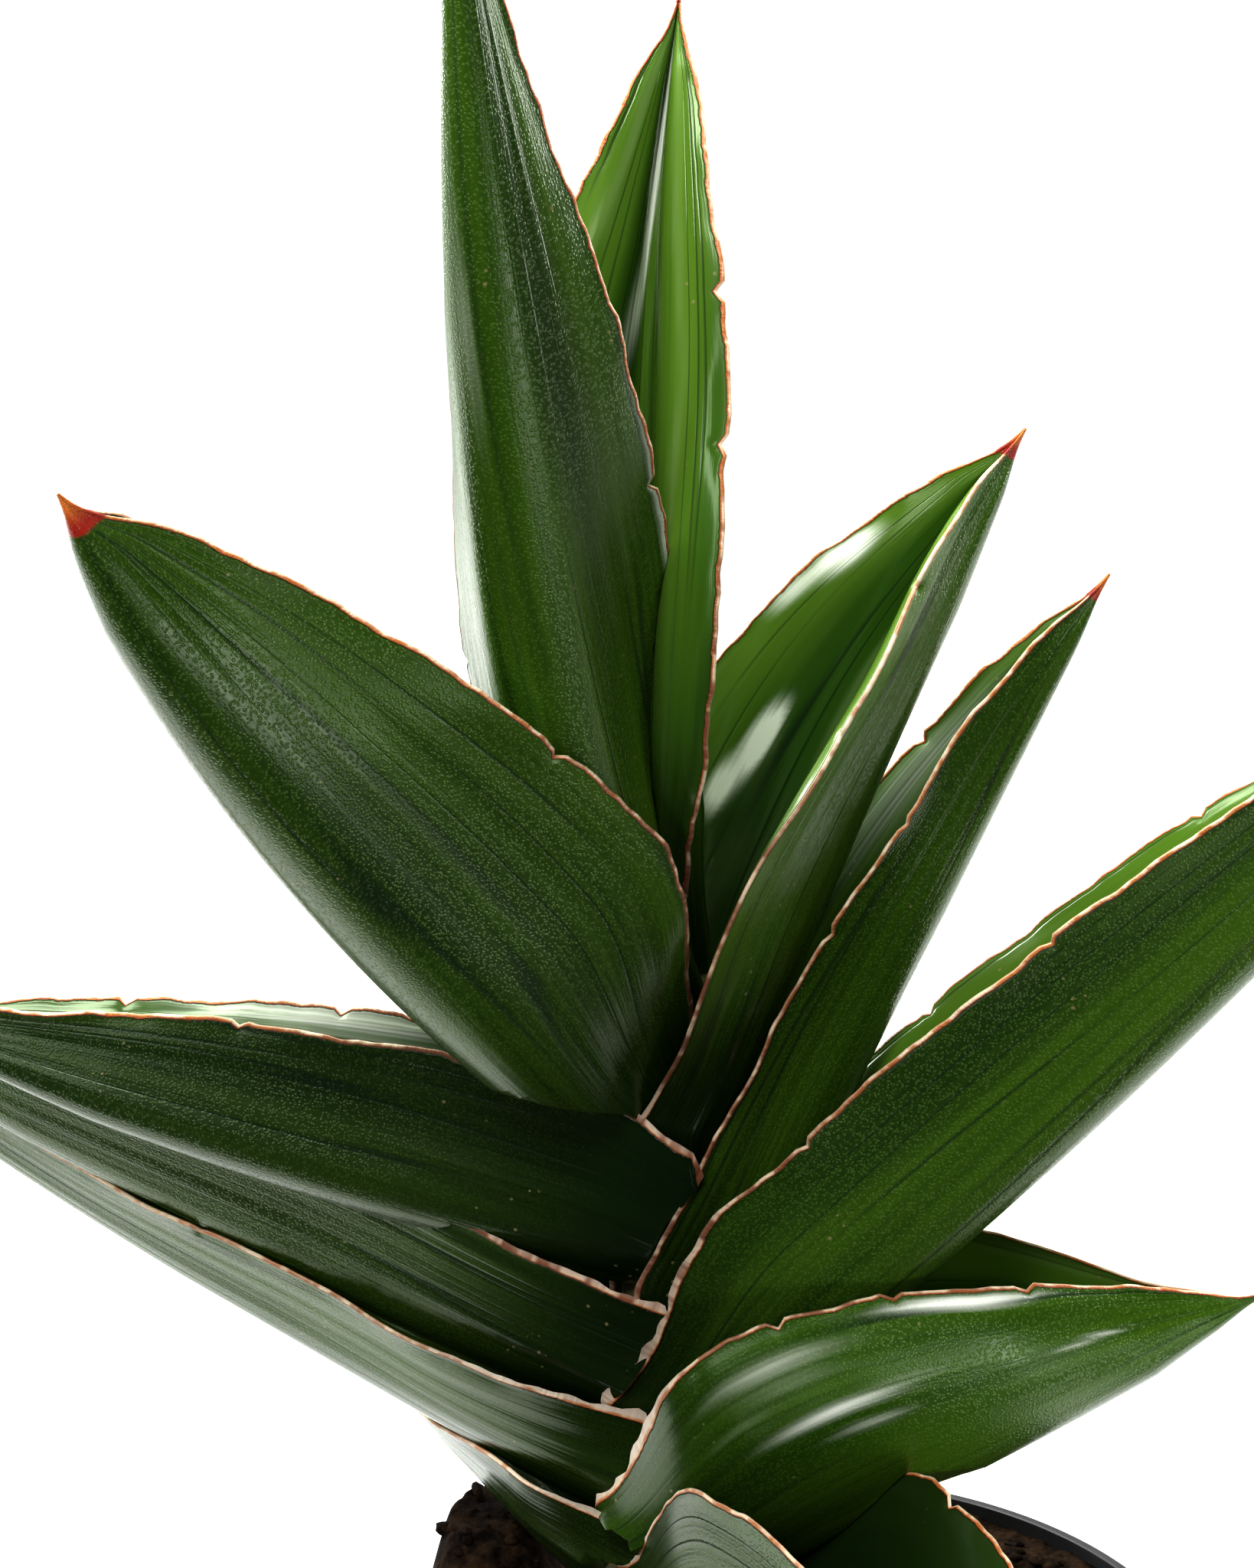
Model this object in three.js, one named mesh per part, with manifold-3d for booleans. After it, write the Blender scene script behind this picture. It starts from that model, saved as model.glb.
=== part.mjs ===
import * as THREE from 'three';
import * as BufferGeometryUtils from 'three/addons/utils/BufferGeometryUtils.js';
import Module from 'manifold-3d';

// A samurai snake plant in a plain nursery pot. Millimetres, +Z up.
// The origin is the centre of the pot's flat underside.

// Pot
const POT_RIM_RADIUS = 70;
const POT_HEIGHT = 120;
const POT_BASE_RADIUS = 51;
const POT_WALL = 1.6;
const POT_FLOOR = 2.4;
const POT_BAND_HEIGHT = 14;
const POT_BAND_STEP = 2.2;
const POT_EDGE = 0.6;
const POT_SIDES = 44;
const DRAIN_COUNT = 8;
const DRAIN_RADIUS = 4;
const DRAIN_CIRCLE = 36;

// Soil
const SOIL_LEVEL = 117.6;
const MOUND_HEIGHT = 22;
const MOUND_X = -54;
const MOUND_Y = 16;
const MOUND_WIDTH = 18;
const MOUND_LENGTH = 30;
const MOUND_CREST = 0.35;
const MOUND_SLOPE = 0.75;
const CLOD_HEIGHT = 1.5;
const SOIL_EDGE_CLODS = 0.3;
const SOIL_EDGE_WIDTH = 8;
const SOIL_RINGS = 9;
const SOIL_SIDES = 40;

// Stem: a leaning core that every leaf clasps, with the crown it roots from
const STEM_LOW = { x: -31, y: 2, z: 110 };
const STEM_HIGH = { x: -19, y: 2, z: 250 };
const STEM_RADIUS_LOW = 9;
const STEM_RADIUS_TOP = 5;
const STEM_TOP = 246;
const CROWN_BOTTOM = 72;
const CROWN_TOP = 112;
const CROWN_RADIUS = 15;
const STEM_SIDES = 18;

// The gap kept between pieces that touch
const GAP = 0.3;
const CUT_FINENESS = 0.03;
const TWIN_DISTANCE = 0.004;

// Leaf section: thickest along the keel, thin at the margin
const KEEL_THICKNESS = 5.85;
const KEEL_TO_HALF = 0.27;
const KEEL_THINNING = 0.12;
const WALL_THINNING = 1.6;
const MARGIN_THICKNESS = 1.15;
const KEEL_SHARE = 0.34;
const FOLD_AT_FOOT = 92;
const FOLD_AT_TIP = 88;
const FOOT_SHARE = 0.25;
const TIP_START = 0.6;
const CLASP_SHARE = 0.4;
const LIFT_POWER = 1.3;
const TIP_HALF_WIDTH = 0.5;
const RIB_RELIEF = 0.22;
const RIB_TURNS = 40;
const RIB_START = 0.2;
const RIB_END = 0.9;
const ROOT_LENGTH = 7;
const ROOT_NARROWING = 0.35;
const STATIONS = 16;
const GUARD_DEPTH = 24;
const GUARD_SHARE = 0.4;
const GUARD_CREST = 11;
const GUARD_FADE = 0.07;
const GUARD_THINNEST = 0.5;
const OUTER_SHARES = [0, 0.13, 0.3, 0.5, 0.74, 1];
const INNER_SHARES = [0, 0.22, 0.58, 1];

// Leaves from the oldest to the youngest. Angles are in degrees, lengths in millimetres.
// facing: the way the keel points, counted anticlockwise from +X, and swing its change to the tip
// seat: height of the keel's foot, reach: its distance from the stem's axis
// rise: slope of the keel at its foot, lift: how much steeper it gets by the tip
// half: half the width of the leaf laid flat, fold: how far a wall turns up from the keel
// curl: how far the wall's edge turns in (or, below zero, out)
// roll and rollTip: turn of the section about the keel at the foot and at the tip
// foot: width at the foot as a share of the widest, widest: where along the leaf that is
// taper: bluntness of the tip, point: how far the tip is drawn out to a narrow point
// clasp: how much wider the foot opens round the stem
// guard: how far up its length a leaf keeps younger leaves inside it
// nicks: where along the leaf the near (+) and far (-) margin is notched
const LEAVES = [
  { facing: -55, swing: -12, seat: 119, reach: 9, rise: 12.5, lift: -10, length: 132,
    half: 50, fold: 75.5, curl: -8, roll: -12, rollTip: -7,
    foot: 0.45, widest: 0.32, taper: 1.7, clasp: 5.5, nicks: [0.55, -0.4, 0.8] },
  { facing: 142.5, swing: -19, seat: 132, reach: 0, rise: 27.5, lift: -19, length: 85,
    half: 24, fold: 58, curl: -9.5, roll: 6.5, rollTip: -27.5,
    foot: 0.82, widest: 0.16, taper: 1.3, clasp: 6.5, nicks: [0.5, -0.7] },
  { facing: -5.5, swing: 14.5, seat: 133.5, reach: 7.5, rise: 29.5, lift: -3, length: 116,
    half: 55.5, fold: 59, curl: 41, roll: 0.5, rollTip: 0,
    foot: 0.516, widest: 0.274, taper: 2.8, clasp: 13.5, point: 0.9, nicks: [0.37, 0.52, 0.68, -0.45] },
  { facing: 156, swing: 3.5, seat: 149, reach: 2, rise: 19.5, lift: 5, length: 173,
    half: 23.5, fold: 66, curl: -19, roll: 2, rollTip: -12.5,
    foot: 1.1, widest: 0.27, taper: 1.83, clasp: 7, nicks: [0.3, 0.72, -0.5] },
  { facing: -13, swing: -5.5, seat: 161, reach: 8, rise: 44.5, lift: 10.5, length: 200,
    half: 35.5, fold: 77, curl: -30, roll: -3, rollTip: -2,
    foot: 0.51, widest: 0.23, taper: 2.38, clasp: 7.5, nicks: [0.31, 0.58, -0.4, -0.7] },
  { facing: 162.5, swing: -3, seat: 166, reach: 2.5, rise: 19, lift: 1, length: 166,
    half: 32, fold: 78, curl: -14, roll: 2, rollTip: -7.5,
    foot: 0.9, widest: 0.32, taper: 1.8, clasp: 7.5, guard: 0.14, nicks: [0.6, -0.5] },
  { facing: 13, swing: 3.5, seat: 175.5, reach: 9, rise: 66, lift: -7.5, length: 150,
    half: 25, fold: 71, curl: -18, roll: -3.5, rollTip: -2.5,
    foot: 0.7, widest: 0.1, taper: 2.6, clasp: 6, nicks: [0.52, 0.66, -0.74] },
  { facing: 177, swing: -4.5, seat: 193, reach: 1, rise: 13.5, lift: 9, length: 139,
    half: 35, fold: 91, curl: -21, roll: 1, rollTip: 8,
    foot: 0.84, widest: 0.11, taper: 2.05, clasp: 7, nicks: [0.46, 0.72, -0.57] },
  { facing: 18, swing: 2, seat: 218, reach: 7, rise: 70, lift: -11, length: 127,
    half: 34, fold: 65, curl: -31, roll: 0.5, rollTip: 18,
    foot: 0.6, widest: 0.3, taper: 2, clasp: 4, nicks: [0.56, 0.76, -0.45] },
  { facing: 212, swing: 20, seat: 214, reach: 11, rise: 43, lift: 18.5, length: 165.5,
    half: 47.5, fold: 67, curl: -17.5, roll: 4.5, rollTip: -5,
    foot: 0.49, widest: 0.33, taper: 2.1, clasp: 1.5, guard: 0.5, nicks: [0.6, 0.53, 0.75, -0.5] },
  { facing: 45.5, swing: 15, seat: 253, reach: 0, rise: 103, lift: -27, length: 152.5,
    half: 33, fold: 79.5, curl: -75, roll: 3, rollTip: 23.5,
    foot: 0.31, widest: 0.31, taper: 2.05, clasp: -1, nicks: [0.58, 0.72, -0.5] },
  { facing: 236.5, swing: 22, seat: 236, reach: 8.5, rise: 59, lift: 26.5, length: 207,
    half: 27, fold: 59.5, curl: -7, roll: 30, rollTip: -21.5,
    foot: 0.5, widest: 0.42, taper: 1.6, clasp: 5.5, nicks: [0.34, 0.8, -0.5] },
];
const NICK_DEPTH = 1.6;
const NICK_LENGTH = 1.5;
const WAVE_HEIGHT = 0.45;
const WAVE_STEP = 4.1;
const WAVE_BEAT = 11;

const LEAF_GREEN = 0x2f5a22;
const STEM_GREEN = 0x55702f;
const SOIL_BROWN = 0x33241a;
const POT_BLACK = 0x1c1c1d;

const wasm = await Module();
wasm.setup();

function radians(degrees) {
  return degrees * Math.PI / 180;
}

function clamp01(x) {
  return Math.min(1, Math.max(0, x));
}

function smooth(x) {
  const c = clamp01(x);
  return c * c * (3 - 2 * c);
}

function stemPoint(z) {
  const share = (z - STEM_LOW.z) / (STEM_HIGH.z - STEM_LOW.z);
  const x = STEM_LOW.x + (STEM_HIGH.x - STEM_LOW.x) * share;
  const y = STEM_LOW.y + (STEM_HIGH.y - STEM_LOW.y) * share;
  return new THREE.Vector3(x, y, z);
}

// Solids

function toSolid(geometry) {
  const bare = geometry.clone();
  bare.deleteAttribute('normal');
  bare.deleteAttribute('uv');
  const merged = BufferGeometryUtils.mergeVertices(bare, 1e-4);
  const vertProperties = new Float32Array(merged.attributes.position.array);
  const triVerts = new Uint32Array(merged.index.array);
  return new wasm.Manifold(new wasm.Mesh({ numProp: 3, vertProperties, triVerts }));
}

// Corners nearer than a hair would be taken for one, so the later one is moved off
function partTwins(positions) {
  const order = [];
  for (let i = 0; i < positions.length; i += 3) {
    order.push(i);
  }
  order.sort((a, b) => positions[a] - positions[b]);
  const gapBetween = (a, b) => Math.hypot(
    positions[a] - positions[b],
    positions[a + 1] - positions[b + 1],
    positions[a + 2] - positions[b + 2],
  );
  order.forEach((later, place) => {
    for (let k = place - 1; k >= 0 && positions[later] - positions[order[k]] < TWIN_DISTANCE; k -= 1) {
      if (gapBetween(later, order[k]) < TWIN_DISTANCE) {
        positions[later + 2] += TWIN_DISTANCE;
      }
    }
  });
  return positions;
}

function toGeometry(solid) {
  const mesh = solid.getMesh();
  const geometry = new THREE.BufferGeometry();
  const positions = partTwins(new Float32Array(mesh.vertProperties));
  geometry.setAttribute('position', new THREE.BufferAttribute(positions, 3));
  geometry.setIndex(new THREE.BufferAttribute(new Uint32Array(mesh.triVerts), 1));
  geometry.computeVertexNormals();
  return geometry;
}

// A cut leaves crumbs and hair-thin faces: the main body is kept and its shortest edges closed up
function largestBody(solid) {
  const bodies = solid.simplify(CUT_FINENESS).decompose();
  bodies.sort((a, b) => b.volume() - a.volume());
  return bodies[0];
}

function signedVolume(points, faces) {
  let total = 0;
  for (const [a, b, c] of faces) {
    total += points[a].dot(new THREE.Vector3().crossVectors(points[b], points[c]));
  }
  return total / 6;
}

function geometryFrom(points, faces) {
  const outward = signedVolume(points, faces) > 0 ? faces : faces.map(([a, b, c]) => [a, c, b]);
  const geometry = new THREE.BufferGeometry();
  geometry.setFromPoints(points);
  geometry.setIndex(outward.flat());
  geometry.computeVertexNormals();
  return geometry;
}

// Triangles between two rows of points that run the same way but differ in number
function stripBetween(rowA, sharesA, rowB, sharesB) {
  const faces = [];
  let a = 0;
  let b = 0;
  while (a < rowA.length - 1 || b < rowB.length - 1) {
    const stepA = a < rowA.length - 1 && (b === rowB.length - 1 || sharesA[a + 1] <= sharesB[b + 1]);
    if (stepA) {
      faces.push([rowA[a], rowA[a + 1], rowB[b]]);
      a += 1;
    } else {
      faces.push([rowA[a], rowB[b + 1], rowB[b]]);
      b += 1;
    }
  }
  return faces;
}

// Leaf

function widthAt(leaf, t) {
  if (t < leaf.widest) {
    return leaf.foot + (1 - leaf.foot) * smooth(t / leaf.widest);
  }
  const past = (t - leaf.widest) / (1 - leaf.widest);
  return (1 - Math.pow(past, leaf.taper)) * (1 - (leaf.point ?? 0) * past * past);
}

function levelDirection(degrees) {
  const angle = radians(degrees);
  return new THREE.Vector3(Math.cos(angle), Math.sin(angle), 0);
}

// The keel's points and frames from below the foot to the tip
function keelFrames(leaf, shares) {
  const fine = 80;
  const direction = (t) => {
    const rise = radians(leaf.rise + leaf.lift * Math.pow(clamp01(t), LIFT_POWER));
    const ahead = levelDirection(leaf.facing + leaf.swing * t);
    return {
      along: ahead.clone().multiplyScalar(Math.cos(rise)).setZ(Math.sin(rise)),
      inward: ahead.clone().multiplyScalar(-Math.sin(rise)).setZ(Math.cos(rise)),
    };
  };
  const start = stemPoint(leaf.seat).addScaledVector(levelDirection(leaf.facing), leaf.reach);
  const path = [start];
  for (let i = 1; i <= fine; i += 1) {
    const middle = direction((i - 0.5) / fine).along;
    path.push(path[i - 1].clone().addScaledVector(middle, leaf.length / fine));
  }
  return shares.map((t) => {
    const { along, inward } = direction(t);
    const side = new THREE.Vector3().crossVectors(along, inward);
    const place = clamp01(t) * fine;
    const index = Math.min(fine - 1, Math.floor(place));
    const point = path[index].clone().lerp(path[index + 1], place - index);
    point.addScaledVector(along, Math.min(0, t) * leaf.length);
    const roll = radians(leaf.roll + (leaf.rollTip - leaf.roll) * smooth(t));
    const up = inward.clone().multiplyScalar(Math.cos(roll)).addScaledVector(side, Math.sin(roll));
    const across = side.clone().multiplyScalar(Math.cos(roll)).addScaledVector(inward, -Math.sin(roll));
    return { point, along, up, across };
  });
}

// One side of the section at t: the middle line's place and slope for each share of the half width
function sectionWall(leaf, t, half, shares) {
  const near = Math.pow(clamp01(1 - t / FOOT_SHARE), 2);
  const far = smooth((t - TIP_START) / (1 - TIP_START));
  const fold = leaf.fold + (FOLD_AT_FOOT - leaf.fold) * near + (FOLD_AT_TIP - leaf.fold) * far;
  const slope = (s) => {
    if (s < KEEL_SHARE) {
      return radians(fold * Math.sin(s / KEEL_SHARE * Math.PI / 2));
    }
    return radians(fold + leaf.curl * (s - KEEL_SHARE) / (1 - KEEL_SHARE));
  };
  const steps = 40;
  const path = [[0, 0]];
  for (let i = 1; i <= steps; i += 1) {
    const angle = (slope((i - 1) / steps) + slope(i / steps)) / 2;
    path.push([
      path[i - 1][0] + Math.cos(angle) * half / steps,
      path[i - 1][1] + Math.sin(angle) * half / steps,
    ]);
  }
  const opening = leaf.clasp * Math.pow(clamp01(1 - t / CLASP_SHARE), 1.5);
  return shares.map((s) => {
    const place = Math.min(s, 1) * steps;
    const index = Math.min(steps - 1, Math.floor(place));
    const part = place - index;
    const across = path[index][0] + (path[index + 1][0] - path[index][0]) * part;
    const up = path[index][1] + (path[index + 1][1] - path[index][1]) * part;
    return { across: across + opening * smooth(s * 2), up, slope: slope(s) };
  });
}

function thicknessAt(half, t, share) {
  const keel = Math.min(KEEL_THICKNESS * (1 - KEEL_THINNING * t), KEEL_TO_HALF * half);
  const margin = Math.min(MARGIN_THICKNESS, 0.12 * half + 0.3);
  return keel * (1 - Math.pow(share, WALL_THINNING)) + margin;
}

// How far the margin is cut back or waves at t, on the near (+1) or far (-1) side
function marginTrim(leaf, t, side) {
  const along = t * leaf.length;
  const ripple = Math.sin(along / WAVE_STEP + side * 1.3 + leaf.facing);
  let trim = WAVE_HEIGHT * ripple * Math.sin(along / WAVE_BEAT);
  for (const nick of leaf.nicks) {
    if (Math.sign(nick) === side) {
      const away = Math.abs(t - Math.abs(nick)) * leaf.length;
      trim -= NICK_DEPTH * clamp01(1 - away / NICK_LENGTH);
    }
  }
  return trim * smooth(t * 8) * smooth((1 - t) * 8);
}

function leafShares(leaf, last) {
  const shares = [-ROOT_LENGTH / leaf.length];
  for (let i = 0; i <= STATIONS; i += 1) {
    shares.push(i / STATIONS);
  }
  for (const nick of leaf.nicks) {
    const centre = Math.abs(nick);
    const reach = NICK_LENGTH / leaf.length;
    const clear = shares.filter((t) => Math.abs(t - centre) > reach * 2 || t <= 0 || t >= 1);
    shares.length = 0;
    shares.push(...clear, centre - reach, centre, centre + reach);
  }
  return shares.filter((t) => t <= last).sort((a, b) => a - b);
}

// A closed skin between an outer and an inner side, each given as a distance from the middle line
function leafSkin(leaf, shares, outerDepth, innerDepth, grow, crest = () => 0) {
  const points = [];
  const outerRows = [];
  const innerRows = [];
  const mirrored = (list) => [...list.slice(1).reverse().map((s) => -s), ...list];
  const outerLine = mirrored(OUTER_SHARES);
  const innerLine = mirrored(INNER_SHARES);
  const frames = keelFrames(leaf, shares);
  // Nearer than this, a side of the ring would fold onto the other side
  const innerFloor = 0.3;
  frames.forEach((frame, row) => {
    const t = shares[row];
    const root = 1 + ROOT_NARROWING * Math.min(0, t) * leaf.length / ROOT_LENGTH;
    const half = leaf.half * widthAt(leaf, Math.max(0, t)) * root;
    const full = half + TIP_HALF_WIDTH * (1 - widthAt(leaf, Math.max(0, t)));
    const place = (line, depth, direction) => line.map((signed) => {
      const side = signed < 0 ? -1 : 1;
      const [wall] = sectionWall(leaf, t, full, [Math.abs(signed)]);
      const away = depth(full, t, Math.abs(signed));
      const edge = direction > 0 ? grow + crest(t) : grow;
      const trim = Math.abs(signed) === 1 ? marginTrim(leaf, t, side) + edge : 0;
      let across = wall.across + direction * away * Math.sin(wall.slope);
      if (direction < 0) {
        across = Math.max(across, innerFloor * wall.across);
      }
      across += trim * Math.cos(wall.slope);
      const up = wall.up - direction * away * Math.cos(wall.slope) + trim * Math.sin(wall.slope);
      const point = frame.point.clone();
      point.addScaledVector(frame.across, side * across);
      point.addScaledVector(frame.up, up);
      points.push(point);
      return points.length - 1;
    });
    outerRows.push(place(outerLine, outerDepth, 1));
    innerRows.push(place(innerLine, innerDepth, -1));
  });
  const faces = [];
  const sheet = (rows, flip) => {
    for (let r = 0; r < rows.length - 1; r += 1) {
      for (let c = 0; c < rows[r].length - 1; c += 1) {
        const corners = [rows[r][c], rows[r][c + 1], rows[r + 1][c + 1], rows[r + 1][c]];
        const [a, b, d, e] = flip ? [...corners].reverse() : corners;
        faces.push([a, b, d], [a, d, e]);
      }
    }
  };
  sheet(outerRows, false);
  sheet(innerRows, true);
  const edge = (column, flip) => {
    for (let r = 0; r < shares.length - 1; r += 1) {
      const outer = column === 0 ? 0 : outerLine.length - 1;
      const inner = column === 0 ? 0 : innerLine.length - 1;
      const a = outerRows[r][outer];
      const b = outerRows[r + 1][outer];
      const c = innerRows[r + 1][inner];
      const d = innerRows[r][inner];
      faces.push(...(flip ? [[a, c, b], [a, d, c]] : [[a, b, c], [a, c, d]]));
    }
  };
  edge(0, false);
  edge(1, true);
  const last = shares.length - 1;
  const footCap = stripBetween(outerRows[0], outerLine, innerRows[0], innerLine);
  faces.push(...footCap.map(([a, b, c]) => [a, c, b]));
  faces.push(...stripBetween(outerRows[last], outerLine, innerRows[last], innerLine));
  return geometryFrom(points, faces);
}

function leafBlade(leaf, grow) {
  const depth = (full, t, share) => {
    const ribbed = share > RIB_START && share < RIB_END;
    const rib = ribbed ? RIB_RELIEF * Math.sin(share * RIB_TURNS) * smooth(full / 12) : 0;
    return thicknessAt(full, t, share) / 2 + grow + rib;
  };
  const plain = (full, t, share) => thicknessAt(full, t, share) / 2 + grow;
  return toSolid(leafSkin(leaf, leafShares(leaf, 1), depth, plain, grow));
}

// The space outside a leaf's lower part, where no younger leaf may come out through its wall
function leafGuard(leaf) {
  const end = leaf.guard ?? GUARD_SHARE;
  const fade = (t) => smooth((end - t) / GUARD_FADE);
  const outer = (full, t) => GUARD_THINNEST + GUARD_DEPTH * fade(t);
  const inner = () => 0;
  const crest = (t) => GUARD_CREST * fade(t);
  const shares = [...leafShares(leaf, end), end];
  return toSolid(leafSkin(leaf, shares, outer, inner, 0, crest));
}

// Stem

function stemSolid(grow) {
  const heights = [CROWN_BOTTOM - grow, 80, 92, 104, 116, 150, 185, 220, STEM_TOP - 3, STEM_TOP + grow];
  const points = [];
  const faces = [];
  heights.forEach((z) => {
    const centre = stemPoint(z);
    const above = clamp01((z - STEM_LOW.z) / (STEM_TOP - STEM_LOW.z));
    const trunk = STEM_RADIUS_LOW + (STEM_RADIUS_TOP - STEM_RADIUS_LOW) * above;
    const swelling = smooth((CROWN_TOP - z) / 14);
    const rounding = 0.55 + 0.45 * smooth((z - CROWN_BOTTOM + 2) / 14);
    const crown = (CROWN_RADIUS - trunk) * swelling * rounding;
    const tip = z > STEM_TOP - 1 ? 0.7 : 1;
    for (let i = 0; i < STEM_SIDES; i += 1) {
      const angle = i / STEM_SIDES * Math.PI * 2;
      const radius = (trunk + crown) * tip + grow;
      const x = centre.x + radius * Math.cos(angle);
      const y = centre.y + radius * Math.sin(angle);
      points.push(new THREE.Vector3(x, y, z));
    }
  });
  const last = (heights.length - 1) * STEM_SIDES;
  for (let i = 0; i < STEM_SIDES; i += 1) {
    const next = (i + 1) % STEM_SIDES;
    for (let row = 0; row < last; row += STEM_SIDES) {
      const a = row + i;
      const b = row + next;
      faces.push([a, b, b + STEM_SIDES], [a, b + STEM_SIDES, a + STEM_SIDES]);
    }
    if (i > 0 && i < STEM_SIDES - 1) {
      faces.push([0, i + 1, i], [last, last + i, last + i + 1]);
    }
  }
  return toSolid(geometryFrom(points, faces));
}

// Pot

// Outer radius of the tapered wall at a height, without the band at the rim
function potRadius(z) {
  const bandFoot = POT_HEIGHT - POT_BAND_HEIGHT;
  const shoulder = POT_RIM_RADIUS - POT_BAND_STEP;
  return POT_BASE_RADIUS + (shoulder - POT_BASE_RADIUS) * z / bandFoot;
}

function potInnerRadius(z) {
  const bandFoot = POT_HEIGHT - POT_BAND_HEIGHT;
  return z > bandFoot ? POT_RIM_RADIUS - POT_EDGE - POT_WALL : potRadius(z) - POT_WALL;
}

function potGeometry() {
  const bandFoot = POT_HEIGHT - POT_BAND_HEIGHT;
  const rim = POT_RIM_RADIUS;
  const profile = [
    [0, 0],
    [POT_BASE_RADIUS - 1, 0],
    [POT_BASE_RADIUS, 1],
    [potRadius(bandFoot), bandFoot],
    [rim - POT_EDGE, bandFoot + POT_EDGE],
    [rim, POT_HEIGHT - 1.6],
    [rim, POT_HEIGHT - 0.5],
    [rim - 0.5, POT_HEIGHT],
    [rim - POT_WALL - 0.1, POT_HEIGHT],
    [potInnerRadius(POT_HEIGHT), POT_HEIGHT - POT_EDGE],
    [potInnerRadius(POT_HEIGHT), bandFoot + 1.2],
    [potInnerRadius(bandFoot - 1), bandFoot - 1],
    [potInnerRadius(POT_FLOOR), POT_FLOOR],
    [0, POT_FLOOR],
  ];
  const lathe = new THREE.LatheGeometry(profile.map(([r, z]) => new THREE.Vector2(r, z)), POT_SIDES);
  lathe.rotateX(Math.PI / 2);
  let solid = toSolid(lathe);
  for (let i = 0; i < DRAIN_COUNT; i += 1) {
    const angle = i / DRAIN_COUNT * Math.PI * 2;
    const drill = new THREE.CylinderGeometry(DRAIN_RADIUS, DRAIN_RADIUS, POT_FLOOR * 3, 10);
    drill.rotateX(Math.PI / 2);
    drill.translate(DRAIN_CIRCLE * Math.cos(angle), DRAIN_CIRCLE * Math.sin(angle), POT_FLOOR / 2);
    solid = solid.subtract(toSolid(drill));
  }
  return toGeometry(solid);
}

// Soil

function seededRandom(seed) {
  let state = seed;
  return () => {
    state = (state * 1664525 + 1013904223) % 4294967296;
    return state / 4294967296;
  };
}

function soilHeight(x, y) {
  const radius = Math.hypot(x, y);
  const away = Math.hypot((x - MOUND_X) / MOUND_WIDTH, (y - MOUND_Y) / MOUND_LENGTH);
  const mound = MOUND_HEIGHT * (1 - smooth((away - MOUND_CREST) / MOUND_SLOPE));
  const broad = 0.5 * Math.sin(x / 7.3 + 1) * Math.cos(y / 6.1);
  const narrow = 0.4 * Math.sin(x / 3.7 - y / 4.3);
  const edge = potInnerRadius(SOIL_LEVEL) + 3.5 - radius;
  return SOIL_LEVEL + (mound + broad + narrow) * smooth(edge / SOIL_EDGE_WIDTH);
}

function soilSolid() {
  const random = seededRandom(41);
  const top = potInnerRadius(SOIL_LEVEL) - GAP;
  const points = [new THREE.Vector3(0, 0, soilHeight(0, 0))];
  const faces = [];
  const ring = (radius, height) => {
    for (let i = 0; i < SOIL_SIDES; i += 1) {
      const angle = (i / SOIL_SIDES) * Math.PI * 2;
      const x = radius * Math.cos(angle);
      const y = radius * Math.sin(angle);
      points.push(new THREE.Vector3(x, y, height(x, y)));
    }
  };
  for (let r = 1; r <= SOIL_RINGS; r += 1) {
    const clods = r < SOIL_RINGS ? CLOD_HEIGHT : SOIL_EDGE_CLODS;
    ring(top * Math.pow(r / SOIL_RINGS, 0.8), (x, y) => soilHeight(x, y) + clods * (random() - 0.5));
  }
  const bandFoot = POT_HEIGHT - POT_BAND_HEIGHT;
  ring(potInnerRadius(bandFoot + 2) - GAP, () => bandFoot + 2);
  ring(potInnerRadius(bandFoot - 1) - GAP * 2, () => bandFoot - 1);
  ring(potInnerRadius(POT_FLOOR) - GAP * 2, () => POT_FLOOR + GAP);
  points.push(new THREE.Vector3(0, 0, POT_FLOOR + GAP));
  const rows = SOIL_RINGS + 3;
  const bottom = points.length - 1;
  for (let i = 0; i < SOIL_SIDES; i += 1) {
    const next = (i + 1) % SOIL_SIDES;
    faces.push([0, 1 + i, 1 + next]);
    for (let r = 0; r < rows - 1; r += 1) {
      const a = 1 + r * SOIL_SIDES + i;
      const b = 1 + r * SOIL_SIDES + next;
      faces.push([a, a + SOIL_SIDES, b + SOIL_SIDES], [a, b + SOIL_SIDES, b]);
    }
    faces.push([1 + (rows - 1) * SOIL_SIDES + i, bottom, 1 + (rows - 1) * SOIL_SIDES + next]);
  }
  return toSolid(geometryFrom(points, faces));
}

// The whole plant

function meshOf(name, geometry, color, roughness) {
  const mesh = new THREE.Mesh(geometry, new THREE.MeshStandardMaterial({ color, roughness, metalness: 0 }));
  mesh.name = name;
  return mesh;
}

function build() {
  const group = new THREE.Group();
  group.add(meshOf('pot', potGeometry(), POT_BLACK, 0.45));
  const stemRoom = stemSolid(GAP);
  let older = stemRoom;
  let planted = stemRoom;
  LEAVES.forEach((leaf, index) => {
    const blade = largestBody(leafBlade(leaf, 0).subtract(older));
    const room = leafBlade(leaf, GAP);
    older = older.add(room).add(leafGuard(leaf));
    planted = planted.add(room);
    const name = `leaf_${String(index + 1).padStart(2, '0')}`;
    group.add(meshOf(name, toGeometry(blade), LEAF_GREEN, 0.4));
  });
  group.add(meshOf('stem', toGeometry(stemSolid(0)), STEM_GREEN, 0.6));
  const soil = largestBody(soilSolid().subtract(planted));
  group.add(meshOf('soil', toGeometry(soil), SOIL_BROWN, 0.95));
  return group;
}

export default build();
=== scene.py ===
import math
import random

import bmesh
import bpy
import numpy as np
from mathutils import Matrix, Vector, noise
from mathutils.bvhtree import BVHTree
from mathutils.kdtree import KDTree


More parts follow.
